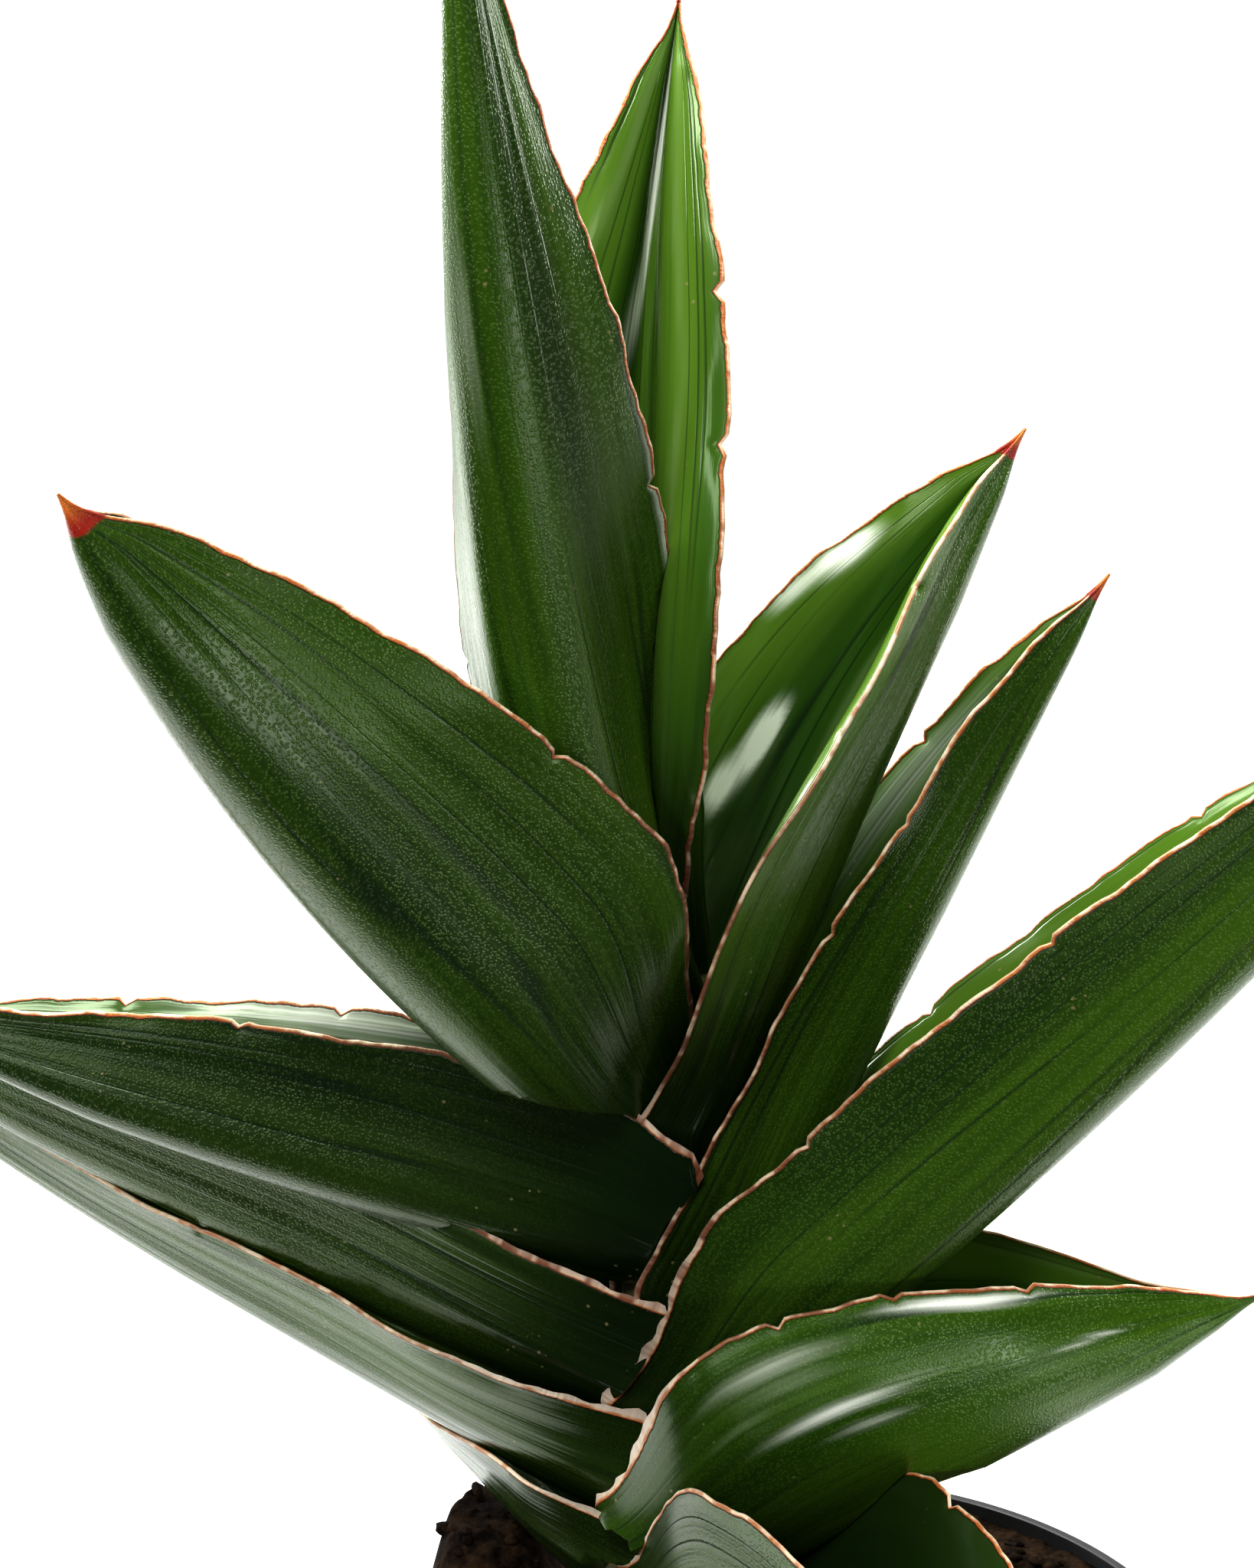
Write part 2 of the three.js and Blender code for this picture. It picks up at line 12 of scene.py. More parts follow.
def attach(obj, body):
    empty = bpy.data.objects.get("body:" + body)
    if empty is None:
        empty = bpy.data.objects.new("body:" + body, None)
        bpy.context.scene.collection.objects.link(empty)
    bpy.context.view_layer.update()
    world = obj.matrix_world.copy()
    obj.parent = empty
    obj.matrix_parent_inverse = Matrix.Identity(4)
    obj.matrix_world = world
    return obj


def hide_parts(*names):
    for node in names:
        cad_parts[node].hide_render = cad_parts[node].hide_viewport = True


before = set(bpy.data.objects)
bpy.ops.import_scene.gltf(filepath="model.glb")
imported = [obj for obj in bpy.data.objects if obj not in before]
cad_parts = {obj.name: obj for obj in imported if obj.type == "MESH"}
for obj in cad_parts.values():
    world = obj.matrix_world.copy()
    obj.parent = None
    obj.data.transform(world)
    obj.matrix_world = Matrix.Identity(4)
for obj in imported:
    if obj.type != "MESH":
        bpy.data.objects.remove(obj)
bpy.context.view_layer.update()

MM = 0.001

# Camera, in metres: it looks along +Y and down by the tilt
CAMERA_TARGET = Vector((-0.030, 0.0, 0.279))
CAMERA_DISTANCE = 0.599
CAMERA_TILT = math.radians(16.5)
CAMERA_LENS = 85
CAMERA_SENSOR = 36

# Lights: name, place and aim in metres, width, height and power in watts
LIGHTS = [
    ("front_box", (0.05, -1.15, 0.64), (0, 0, 0.30), 0.4, 0.25, 1.5),
    ("key_box", (-0.25, -0.75, 1.25), (-0.03, 0, 0.27), 0.5, 0.5, 15),
    ("strip_right", (0.85, -0.78, -0.10), (0.05, 0, 0.16), 0.2, 0.3, 2.5),
    ("strip_left", (-0.75, -0.95, 0.50), (0, 0, 0.32), 0.3, 0.6, 4),
    ("card_box", (0.32, -0.44, -0.02), (0.05, 0, 0.18), 0.35, 0.05, 0.5),
    ("top_box", (-0.35, 0.25, 1.30), (-0.03, 0, 0.25), 1.0, 0.6, 22),
    ("left_box", (-0.95, 0.98, 0.66), (-0.03, 0, 0.25), 0.7, 0.9, 24),
    ("right_box", (1.05, 0.75, 0.55), (-0.03, 0, 0.25), 0.7, 0.9, 14),
]
# The surroundings are dim in front of the plant, and white behind, beside and above it. The fade runs
# from front to back, and the backdrop is what the camera sees of them.
SKY_FADE_START = -0.12
SKY_FADE_END = 0.58
SKY_DIM = 0.015
SKY_BRIGHT = 1.1
BACKDROP_BRIGHT = 1.05
FLOOR_X = (-1.3, 0.62)
FLOOR_Y = (-0.075, 1.3)
VIEW_EXPOSURE = 0.12
VIEW_GAMMA = 0.82

# Pot, in millimetres
POT_RIM_RADIUS = 70
POT_HEIGHT = 120
POT_BASE_RADIUS = 51
POT_WALL = 1.6
POT_FLOOR = 2.4
POT_BAND_HEIGHT = 14
POT_BAND_STEP = 2.2
POT_EDGE = 0.6
POT_SIDES = 180
DRAIN_COUNT = 8
DRAIN_RADIUS = 4
DRAIN_CIRCLE = 36
DRAIN_SIDES = 32
POT_SHARP_ANGLE = math.radians(40)

# Soil and the crumbs lying on it, in millimetres
SOIL_LEVEL = 117.6
MOUND_HEIGHT = 22
MOUND_X = -54
MOUND_Y = 16
MOUND_WIDTH = 18
MOUND_LENGTH = 30
MOUND_CREST = 0.35
MOUND_SLOPE = 0.75
SOIL_RINGS = 84
SOIL_SIDES = 250
CRUMB_COUNT = 900
CRUMB_REACH = 64
CRUMB_LOWEST = 110

# Stem, in millimetres
STEM_LOW = np.array([-31.0, 2.0, 110.0])
STEM_HIGH = np.array([-19.0, 2.0, 250.0])
STEM_TOP = 246
STEM_RADIUS_LOW = 9
STEM_RADIUS_TOP = 5
STEM_SIDES = 18
GAP = 0.3

# Leaves, in millimetres, degrees and shares
KEEL_THICKNESS = 5.85
KEEL_TO_HALF = 0.27
KEEL_THINNING = 0.12
WALL_THINNING = 1.6
MARGIN_THICKNESS = 1.15
KEEL_SHARE = 0.34
FOLD_AT_FOOT = 92
FOLD_AT_TIP = 88
FOOT_SHARE = 0.25
TIP_START = 0.6
CLASP_SHARE = 0.4
LIFT_POWER = 1.3
TIP_HALF_WIDTH = 0.5
ROOT_LENGTH = 7
ROOT_NARROWING = 0.35
GUARD_DEPTH = 24
GUARD_SHARE = 0.4
GUARD_CREST = 11
GUARD_FADE = 0.07
GUARD_THINNEST = 0.5
NICK_DEPTH = 1.2
NICK_LENGTH = 1.5
WAVE_HEIGHT = 0.45
WAVE_STEP = 4.1
WAVE_BEAT = 11
SECTION_STEPS = 160
KEEL_STEPS = 160
ROOM_SPACING = 4
ROOM_OUTER = np.array([0, 0.06, 0.13, 0.2, 0.28, 0.4, 0.55, 0.7, 0.85, 1])
ROOM_INNER = np.array([0, 0.1, 0.22, 0.36, 0.5, 0.68, 0.85, 1])

# Fine detail of the leaves. The edge columns are distances from the margin
FINE_SPACING = 1.3
FINE_OUTER = np.linspace(0, 0.999, 23)
FINE_INNER = np.linspace(0, 0.999, 17)
EDGE_COLUMNS = np.array([4.0, 2.2, 1.3, 0.8, 0.4, 0.0])
NARROW_HALF = 12
MARGIN_SHARPNESS = 0.6
SHARPENED_WIDTH = 3.5
TRIMMED_WIDTH = 2.5
SPINE_NARROWING = 0.55
SPINE_STRETCH = 13
RIB_HEIGHT = 0.09
CURL_HEIGHT = 0.32
CURL_START = 0.84
CREST_SHIFT = 0.15
CREST_ROUNDING = 0.62
SHARP_ANGLE = math.radians(60)

# The leaves, oldest first. Facing and swing turn a leaf round the stem, seat is the height it grows from,
# reach how far it starts from the stem's middle, rise and lift how steep it is and becomes, half its half
# width laid flat. Fold and curl close its section, roll and rollTip turn it on its keel, foot to point
# shape its outline, clasp opens its foot. Nicks are the notches, with their side as the sign, guard is how
# much of the leaf keeps younger ones inside it, frill how far the dry membrane stands off near the foot,
# vivid how yellow-green and bright the leaf is painted, partly its own colour and partly painted light on
# lit and backlit leaves, while below zero it is painted darker as shade on leaves lying under others, spine
# the length of the red point.
KEYS = ("facing swing seat reach rise lift length half fold curl roll rollTip foot widest taper point "
        "clasp nicks guard frill vivid spine").split()
LEAVES = [
    (-55, -12, 119, 9, 12.5, -10, 132, 50, 75.5, -8, -12, -7, 0.45, 0.32, 1.7, 0, 5.5,
     (0.55, -0.4, 0.8), GUARD_SHARE, 1.0, 0.1, 5),
    (142.5, -19, 132, 0, 27.5, -19, 85, 24, 58, -9.5, 6.5, -27.5, 0.82, 0.16, 1.3, 0, 6.5,
     (0.5, -0.7), GUARD_SHARE, 2.2, -0.25, 4),
    (-5.5, 14.5, 133.5, 7.5, 29.5, -3, 116, 55.5, 59, 41, 0.5, 0, 0.516, 0.274, 2.8, 0.9, 13.5,
     (0.37, 0.52, 0.68, -0.45), GUARD_SHARE, 3.0, 0.55, 2.5),
    (156, 3.5, 149, 2, 19.5, 5, 173, 23.5, 66, -19, 2, -12.5, 1.1, 0.27, 1.83, 0, 7,
     (0.3, 0.72, -0.5), GUARD_SHARE, 2.6, 0.1, 5),
    (-13, -5.5, 161, 8, 44.5, 10.5, 200, 35.5, 77, -30, -3, -2, 0.51, 0.23, 2.38, 0, 7.5,
     (0.31, 0.58, -0.4, -0.7), GUARD_SHARE, 2.4, 0.25, 5),
    (162.5, -3, 166, 2.5, 19, 1, 166, 32, 78, -14, 2, -7.5, 0.9, 0.32, 1.8, 0, 7.5,
     (0.6, -0.5), 0.14, 1.8, -0.15, 5),
    (13, 3.5, 175.5, 9, 66, -7.5, 150, 25, 71, -18, -3.5, -2.5, 0.7, 0.1, 2.6, 0, 6,
     (0.52, 0.66, -0.74), GUARD_SHARE, 1.0, 0.3, 5),
    (177, -4.5, 193, 1, 13.5, 9, 139, 35, 91, -21, 1, 8, 0.84, 0.11, 2.05, 0, 7,
     (0.46, 0.72, -0.57), GUARD_SHARE, 1.0, -0.4, 5),
    (18, 2, 218, 7, 70, -11, 127, 34, 65, -31, 0.5, 18, 0.6, 0.3, 2, 0, 4,
     (0.56, 0.76, -0.45), GUARD_SHARE, 0.8, 0.55, 5.5),
    (212, 20, 214, 11, 43, 18.5, 165.5, 47.5, 67, -17.5, 4.5, -5, 0.49, 0.33, 2.1, 0, 1.5,
     (0.6, 0.53, 0.75, -0.5), 0.5, 0.8, 0.2, 7),
    (45.5, 15, 253, 0, 103, -27, 152.5, 33, 79.5, -75, 3, 23.5, 0.31, 0.31, 2.05, 0, -1,
     (0.58, 0.72, -0.5), GUARD_SHARE, 0.6, 1.0, 1),
    (236.5, 22, 236, 8.5, 59, 26.5, 207, 27, 59.5, -7, 30, -21.5, 0.5, 0.42, 1.6, 0, 5.5,
     (0.34, 0.8, -0.5), GUARD_SHARE, 0.6, 0.35, 6),
]
# Soft patches of painted light on a leaf's face: leaf number, face (0 outer, 1 inner), share of the length
# and its half length, share of the width, how far that share shifts along the leaf, its half width, and how
# strong the painted highlight is (or, below zero, how dark the painted shade is)
PAINTED_LIGHT_PATCHES = [
    (9, 1, 0.76, 0.045, -0.88, 0.0, 0.12, 0.9),
    (9, 1, 0.68, 0.04, -0.95, 0.0, 0.08, 0.6),
    (9, 1, 0.50, 0.05, -0.56, 0.0, 0.05, 1.6),
    (9, 1, 0.42, 0.04, -0.62, 0.0, 0.05, 1.2),
    (11, 1, 0.80, 0.14, -0.14, 1.3, 0.11, 1.3),
    (7, 1, 0.70, 0.16, -0.78, 0.0, 0.20, 0.4),
    (8, 1, 0.48, 0.20, 0.94, 0.0, 0.12, 0.5),
    (3, 0, 0.60, 0.10, 0.955, 0.0, 0.03, 0.8),
    (3, 0, 0.40, 0.12, 0.68, 0.1, 0.025, 0.8),
    (3, 0, 0.46, 0.10, 0.60, 0.1, 0.015, 0.7),
    (3, 0, 0.73, 0.06, 0.64, 0.0, 0.025, 0.6),
    (3, 0, 0.34, 0.12, 0.88, 0.0, 0.05, 0.4),
    (3, 0, 0.30, 0.12, 0.78, 0.1, 0.02, 0.4),
    (12, 0, 0.67, 0.12, 0.02, 0.0, 0.05, 0.3),
    (12, 0, 0.60, 0.28, -0.50, 0.0, 0.28, -0.6),
    (12, 0, 0.45, 0.22, -0.98, 0.0, 0.05, 0.5),
    (1, 1, 0.30, 0.60, 0.00, 0.0, 2.0, -1.0),
]

# Leaf colours, dark and light, plain and for a yellow-green leaf, whose yellow-green end is also painted
# light on lit and backlit leaves
OUTER_DARK = ((0.010, 0.030, 0.003), (0.020, 0.070, 0.003))
OUTER_LIGHT = ((0.040, 0.082, 0.006), (0.085, 0.200, 0.006))
INNER_DARK = (0.030, 0.090, 0.006)
INNER_LIGHT = (0.110, 0.210, 0.022)
PEBBLE_GREEN = ((0.075, 0.145, 0.018), (0.13, 0.25, 0.02))
SILVER_AND_GLOSS_GREEN = (0.30, 0.40, 0.18)
FURROW_GREEN = (0.005, 0.016, 0.008)
PAINTED_FOOT_SHADE = (0.003, 0.010, 0.002)
PAINTED_SHADE_GREEN = (0.004, 0.013, 0.003)
SPECK_BROWN = (0.28, 0.24, 0.12)
PAINTED_HIGHLIGHT_WHITE = (0.92, 0.95, 0.86)
COPPER_RED = (0.36, 0.050, 0.012)
COPPER_BROWN = (0.56, 0.20, 0.050)
CREST_ORANGE = (0.52, 0.190, 0.050)
CREST_CREAM = (0.82, 0.68, 0.48)
DRY_TAN = (0.62, 0.47, 0.33)
DRY_WHITE = (0.86, 0.80, 0.70)
PAINTED_SHADE_BROWN = (0.150, 0.050, 0.026)
MARGIN_SHADE = (0.07, 0.014, 0.008)
SPINE_ORANGE = (0.78, 0.23, 0.035)
SPINE_RED = (0.34, 0.020, 0.012)
LEAF_TINT = (0.86, 1.0, 0.74)

# Colours of the soil, the pot and the stem
SOIL_BLACK = (0.003, 0.0016, 0.001)
SOIL_BROWN = (0.034, 0.019, 0.009)
SOIL_GRAIN = (0.055, 0.028, 0.014)
SOIL_FIBRE = (0.12, 0.075, 0.04)
PLASTIC_BLACK = (0.013, 0.013, 0.014)
PLASTIC_GREY = (0.020, 0.020, 0.022)
PLASTIC_DUST = (0.075, 0.060, 0.048)
STEM_GREEN = (0.075, 0.085, 0.025)
STEM_TAN = (0.21, 0.19, 0.085)


# Small helpers


def smooth(x):
    c = np.clip(x, 0, 1)
    return c * c * (3 - 2 * c)


def unit_hash(i):
    """A number from 0 to 1 that looks random but is the same each run."""
    return (math.sin(i * 127.1) * 43758.5453) % 1.0


def circle(radius, sides):
    """The corners of a circle round the origin."""
    angles = [i / sides * math.tau for i in range(sides)]
    return [(radius * math.cos(angle), radius * math.sin(angle)) for angle in angles]


def mesh_object(name, points, faces):
    mesh = bpy.data.meshes.new(name)
    mesh.from_pydata(points, [], faces)
    mesh.update()
    made = bpy.data.objects.new(name, mesh)
    bpy.context.scene.collection.objects.link(made)
    return made


def set_floats(mesh, name, values):
    """Stores a number, or three, at each point of the mesh for the materials to read."""
    kind = "FLOAT_VECTOR" if values.ndim == 2 else "FLOAT"
    attribute = mesh.attributes.new(name, kind, "POINT")
    attribute.data.foreach_set("vector" if values.ndim == 2 else "value", values.ravel())


def vertex_array(mesh):
    """The mesh's points as an array."""
    flat = np.empty(len(mesh.vertices) * 3)
    mesh.vertices.foreach_get("co", flat)
    return flat.reshape(-1, 3)


def cut(piece, cutters):
    """Takes the cutters out of the piece and leaves it a plain mesh."""
    for number, cutter in enumerate(cutters):
        modifier = piece.modifiers.new(f"cut_{number}", "BOOLEAN")
        modifier.operation = "DIFFERENCE"
        modifier.solver = "MANIFOLD"
        modifier.object = cutter
    bpy.context.view_layer.update()
    shaped = piece.evaluated_get(bpy.context.evaluated_depsgraph_get())
    mesh = bpy.data.meshes.new_from_object(shaped)
    old = piece.data
    piece.modifiers.clear()
    piece.data = mesh
    bpy.data.meshes.remove(old)


def smooth_shading(piece, sharp_from=None):
    piece.data.polygons.foreach_set("use_smooth", [True] * len(piece.data.polygons))
    if sharp_from is not None:
        piece.data.set_sharp_from_angle(angle=sharp_from)


def keep_largest(piece):
    """Deletes the crumbs that a cut leaves beside the main body."""
    mesh = piece.data
    group = np.arange(len(mesh.vertices))
    edges = np.empty(len(mesh.edges) * 2, dtype=int)
    mesh.edges.foreach_get("vertices", edges)
    a, b = edges.reshape(-1, 2).T
    while True:
        least = np.minimum(group[a], group[b])
        before = group.copy()
        np.minimum.at(group, a, least)
        np.minimum.at(group, b, least)
        group = group[group]
        if (group == before).all():
            break
    names, counts = np.unique(group, return_counts=True)
    main = names[counts.argmax()]
    keep = group == main
    if keep.all():
        return
    new_index = np.cumsum(keep) - 1
    kept = [face for face in mesh.polygons if keep[face.vertices[0]]]
    faces = [[int(new_index[v]) for v in face.vertices] for face in kept]
    points = vertex_array(mesh)[keep]
    trimmed = bpy.data.meshes.new(mesh.name)
    trimmed.from_pydata(points.tolist(), [], faces)
    piece.data = trimmed
    bpy.data.meshes.remove(mesh)


# Leaves


def stem_point(z):
    """The middle of the stem at a height."""
    share = (z - STEM_LOW[2]) / (STEM_HIGH[2] - STEM_LOW[2])
    return STEM_LOW + (STEM_HIGH - STEM_LOW) * share


def width_at(leaf, t):
    """The leaf's width as a share of its widest, t being the share of its length."""
    rising = leaf["foot"] + (1 - leaf["foot"]) * smooth(t / leaf["widest"])
    past = np.clip((t - leaf["widest"]) / (1 - leaf["widest"]), 0, 1)
    falling = (1 - past ** leaf["taper"]) * (1 - leaf["point"] * past * past)
    return np.where(t < leaf["widest"], rising, falling)


def keel_frames(leaf, shares):
    """The keel's points and frames at these shares of its length."""

    def direction(t):
        rise = np.radians(leaf["rise"] + leaf["lift"] * np.clip(t, 0, 1) ** LIFT_POWER)
        facing = np.radians(leaf["facing"] + leaf["swing"] * t)
        ahead = np.stack([np.cos(facing), np.sin(facing), 0 * facing], -1)
        level = np.cos(rise)[:, None]
        steep = np.sin(rise)[:, None]
        up = np.array([0, 0, 1.0])
        return ahead * level + up * steep, up * level - ahead * steep

    facing = math.radians(leaf["facing"])
    start = stem_point(leaf["seat"]) + leaf["reach"] * np.array([math.cos(facing), math.sin(facing), 0])
    middles = (np.arange(KEEL_STEPS) + 0.5) / KEEL_STEPS
    steps = direction(middles)[0] * leaf["length"] / KEEL_STEPS
    path = np.vstack([start, start + np.cumsum(steps, 0)])
    along, inward = direction(shares)
    side = np.cross(along, inward)
    place = np.clip(shares, 0, 1) * KEEL_STEPS
    index = np.minimum(KEEL_STEPS - 1, np.floor(place)).astype(int)
    part = (place - index)[:, None]
    point = path[index] * (1 - part) + path[index + 1] * part
    point = point + along * (np.minimum(0, shares) * leaf["length"])[:, None]
    roll = np.radians(leaf["roll"] + (leaf["rollTip"] - leaf["roll"]) * smooth(shares))[:, None]
    up = inward * np.cos(roll) + side * np.sin(roll)
    across = side * np.cos(roll) - inward * np.sin(roll)
    return point, up, across


def section_wall(leaf, t, full, s):
    """One side of each section: place and slope of the middle line at shares s, one row for each t."""
    near = np.clip(1 - t / FOOT_SHARE, 0, 1) ** 2
    far = smooth((t - TIP_START) / (1 - TIP_START))
    fold = leaf["fold"] + (FOLD_AT_FOOT - leaf["fold"]) * near + (FOLD_AT_TIP - leaf["fold"]) * far

    def slope(share):
        rising = fold[:, None] * np.sin(np.minimum(share, KEEL_SHARE) / KEEL_SHARE * math.pi / 2)
        past = leaf["curl"] * np.maximum(0, share - KEEL_SHARE) / (1 - KEEL_SHARE)
        return np.radians(rising + past)

    grid = np.linspace(0, 1, SECTION_STEPS + 1)[None, :].repeat(len(t), 0)
    angle = slope(grid)
    middle = (angle[:, 1:] + angle[:, :-1]) / 2
    size = (full / SECTION_STEPS)[:, None]
    zero = np.zeros((len(t), 1))
    path_across = np.hstack([zero, np.cumsum(np.cos(middle) * size, 1)])
    path_up = np.hstack([zero, np.cumsum(np.sin(middle) * size, 1)])
    place = np.clip(s, 0, 1) * SECTION_STEPS
    index = np.minimum(SECTION_STEPS - 1, np.floor(place)).astype(int)
    part = place - index
    opening = leaf["clasp"] * np.clip(1 - t / CLASP_SHARE, 0, 1) ** 1.5

    def at(path):
        low = np.take_along_axis(path, index, 1)
        high = np.take_along_axis(path, index + 1, 1)
        return low + (high - low) * part

    return at(path_across) + opening[:, None] * smooth(s * 2), at(path_up), slope(s)


def thickness_at(full, t, share):
    """The wall's thickness, from the keel at share 0 to the margin at share 1."""
    keel = np.minimum(KEEL_THICKNESS * (1 - KEEL_THINNING * t), KEEL_TO_HALF * full)
    margin = np.minimum(MARGIN_THICKNESS, 0.12 * full + 0.3)
    return keel[:, None] * (1 - share ** WALL_THINNING) + margin[:, None]


def margin_trim(leaf, t, side, fine):
    """How far the margin waves or is cut back at each t."""
    along = t * leaf["length"]
    ripple = np.sin(along / WAVE_STEP + side * 1.3 + leaf["facing"])
    trim = WAVE_HEIGHT * ripple * np.sin(along / WAVE_BEAT)
    for nick in leaf["nicks"]:
        if nick * side > 0:
            away = np.abs(t - abs(nick)) * leaf["length"]
            trim = trim - NICK_DEPTH * np.clip(1 - away / NICK_LENGTH, 0, 1)
    if fine:
        seed = leaf["facing"] * side
        trim = trim + 0.16 * np.sin(along / 0.9 + seed) * np.sin(along / 6.1 + 2 * seed)
        trim = trim + 0.12 * np.sin(along / 1.9 + 3 * seed)
    return trim * smooth(t * 8) * smooth((1 - t) * 8)


def leaf_widths(leaf, t):
    """Half the leaf's width laid flat, in millimetres, also in the root below t = 0."""
    clipped = np.clip(t, 0, 1)
    share = width_at(leaf, clipped)
    root = 1 + ROOT_NARROWING * np.minimum(0, t) * leaf["length"] / ROOT_LENGTH
    return leaf["half"] * share * root + TIP_HALF_WIDTH * (1 - share)


def leaf_rows(leaf, spacing, last=1.0):
    """Shares of the length where the leaf has a ring, closer together at its nicks."""
    count = int(leaf["length"] / spacing)
    rows = [-ROOT_LENGTH / leaf["length"], -ROOT_LENGTH / leaf["length"] / 2]
    rows += [i / count for i in range(count + 1)]
    for nick in leaf["nicks"]:
        reach = NICK_LENGTH / leaf["length"]
        rows = [t for t in rows if abs(t - abs(nick)) > reach * 1.3 or t < 0.02 or t > 0.98]
        rows += [abs(nick) + reach * k for k in (-1, -0.5, 0, 0.5, 1)]
    return np.array(sorted(t for t in rows if t <= last + 1e-9))


def frill_at(leaf, t, side):
    """How far the dry ragged membrane stands off the margin."""
    along = t * leaf["length"]
    seed = leaf["facing"] + side
    ragged = 0.55 + 0.3 * np.sin(along / 1.3 + seed) * np.sin(along / 3.1 + seed)
    ragged = ragged + 0.25 * np.sin(along / 5.7 + 2 * seed)
    return leaf["frill"] * ragged * smooth((t + 0.02) * 30) * (1 - smooth((t - 0.06) / 0.2))


def column_shares(line, full, fine):
    """Where the columns lie in each ring, as shares of the way from the keel to the margin."""
    main = line[line < 1]
    if not fine:
        return np.hstack([np.repeat(main[None, :], len(full), 0), np.ones((len(full), 1))])
    # The last columns lie at fixed distances from the margin, the others in even steps
    scale = np.minimum(1, full / NARROW_HALF)
    end = 1 - EDGE_COLUMNS[0] * scale / full
    grid = main[None, :] / main[-1] * end[:, None]
    return np.hstack([grid, 1 - EDGE_COLUMNS[None, 1:] * (scale / full)[:, None]])


def with_relief(leaf, t, full, s, side, direction, away):
    """The skin's distance from the middle of the wall, with a thin curling margin and ribs outside."""
    held = np.clip(t, 0, 1)
    along = t * leaf["length"]
    sharpened = smooth((1 - s) * full[:, None] / SHARPENED_WIDTH)
    away = away * (MARGIN_SHARPNESS + (1 - MARGIN_SHARPNESS) * sharpened)
    if direction > 0:
        seed = leaf["facing"] * 0.37 + side
        ribs = 0.6 * np.sin(s * 41 + seed + t[:, None])
        ribs = ribs + 0.55 * np.sin(s * 23 + 2 * seed - 1.4 * t[:, None])
        narrow = smooth(full / NARROW_HALF)[:, None]
        inside = smooth((s - 0.12) / 0.1) * smooth((0.97 - s) / 0.12) * narrow
        away = away + RIB_HEIGHT * ribs * inside
    seed = leaf["facing"] * side
    curl = np.sin(along / 7.3 + seed) + 0.6 * np.sin(along / 3.9 + 2 * seed)
    bend = CURL_HEIGHT * curl * smooth(held * 6) * smooth((1 - held) * 6)
    return away + direction * bend[:, None] * smooth((s - CURL_START) / (1 - CURL_START))


def skin_faces(rows, ring, outer_count):
    """The faces between the rings, and at both ends strips between the outer and the inner columns."""
    first = np.arange(rows - 1)[:, None] * ring
    column = np.arange(ring)[None, :]
    base = first + column
    nxt = first + (column + 1) % ring
    faces = np.stack([base, nxt, nxt + ring, base + ring], -1).reshape(-1, 4).tolist()
    for row, turn in ((0, False), (rows - 1, True)):
        loop = [row * ring + c for c in range(ring)]
        a = loop[:outer_count]
        b = loop[outer_count:][::-1]
        i = j = 0
        while i < len(a) - 1 or j < len(b) - 1:
            if j == len(b) - 1 or (i < len(a) - 1 and i / len(a) <= j / len(b)):
                face = [a[i], a[i + 1], b[j]]
                i += 1
            else:
                face = [a[i], b[j + 1], b[j]]
                j += 1
            faces.append(face if turn else face[::-1])
    return faces


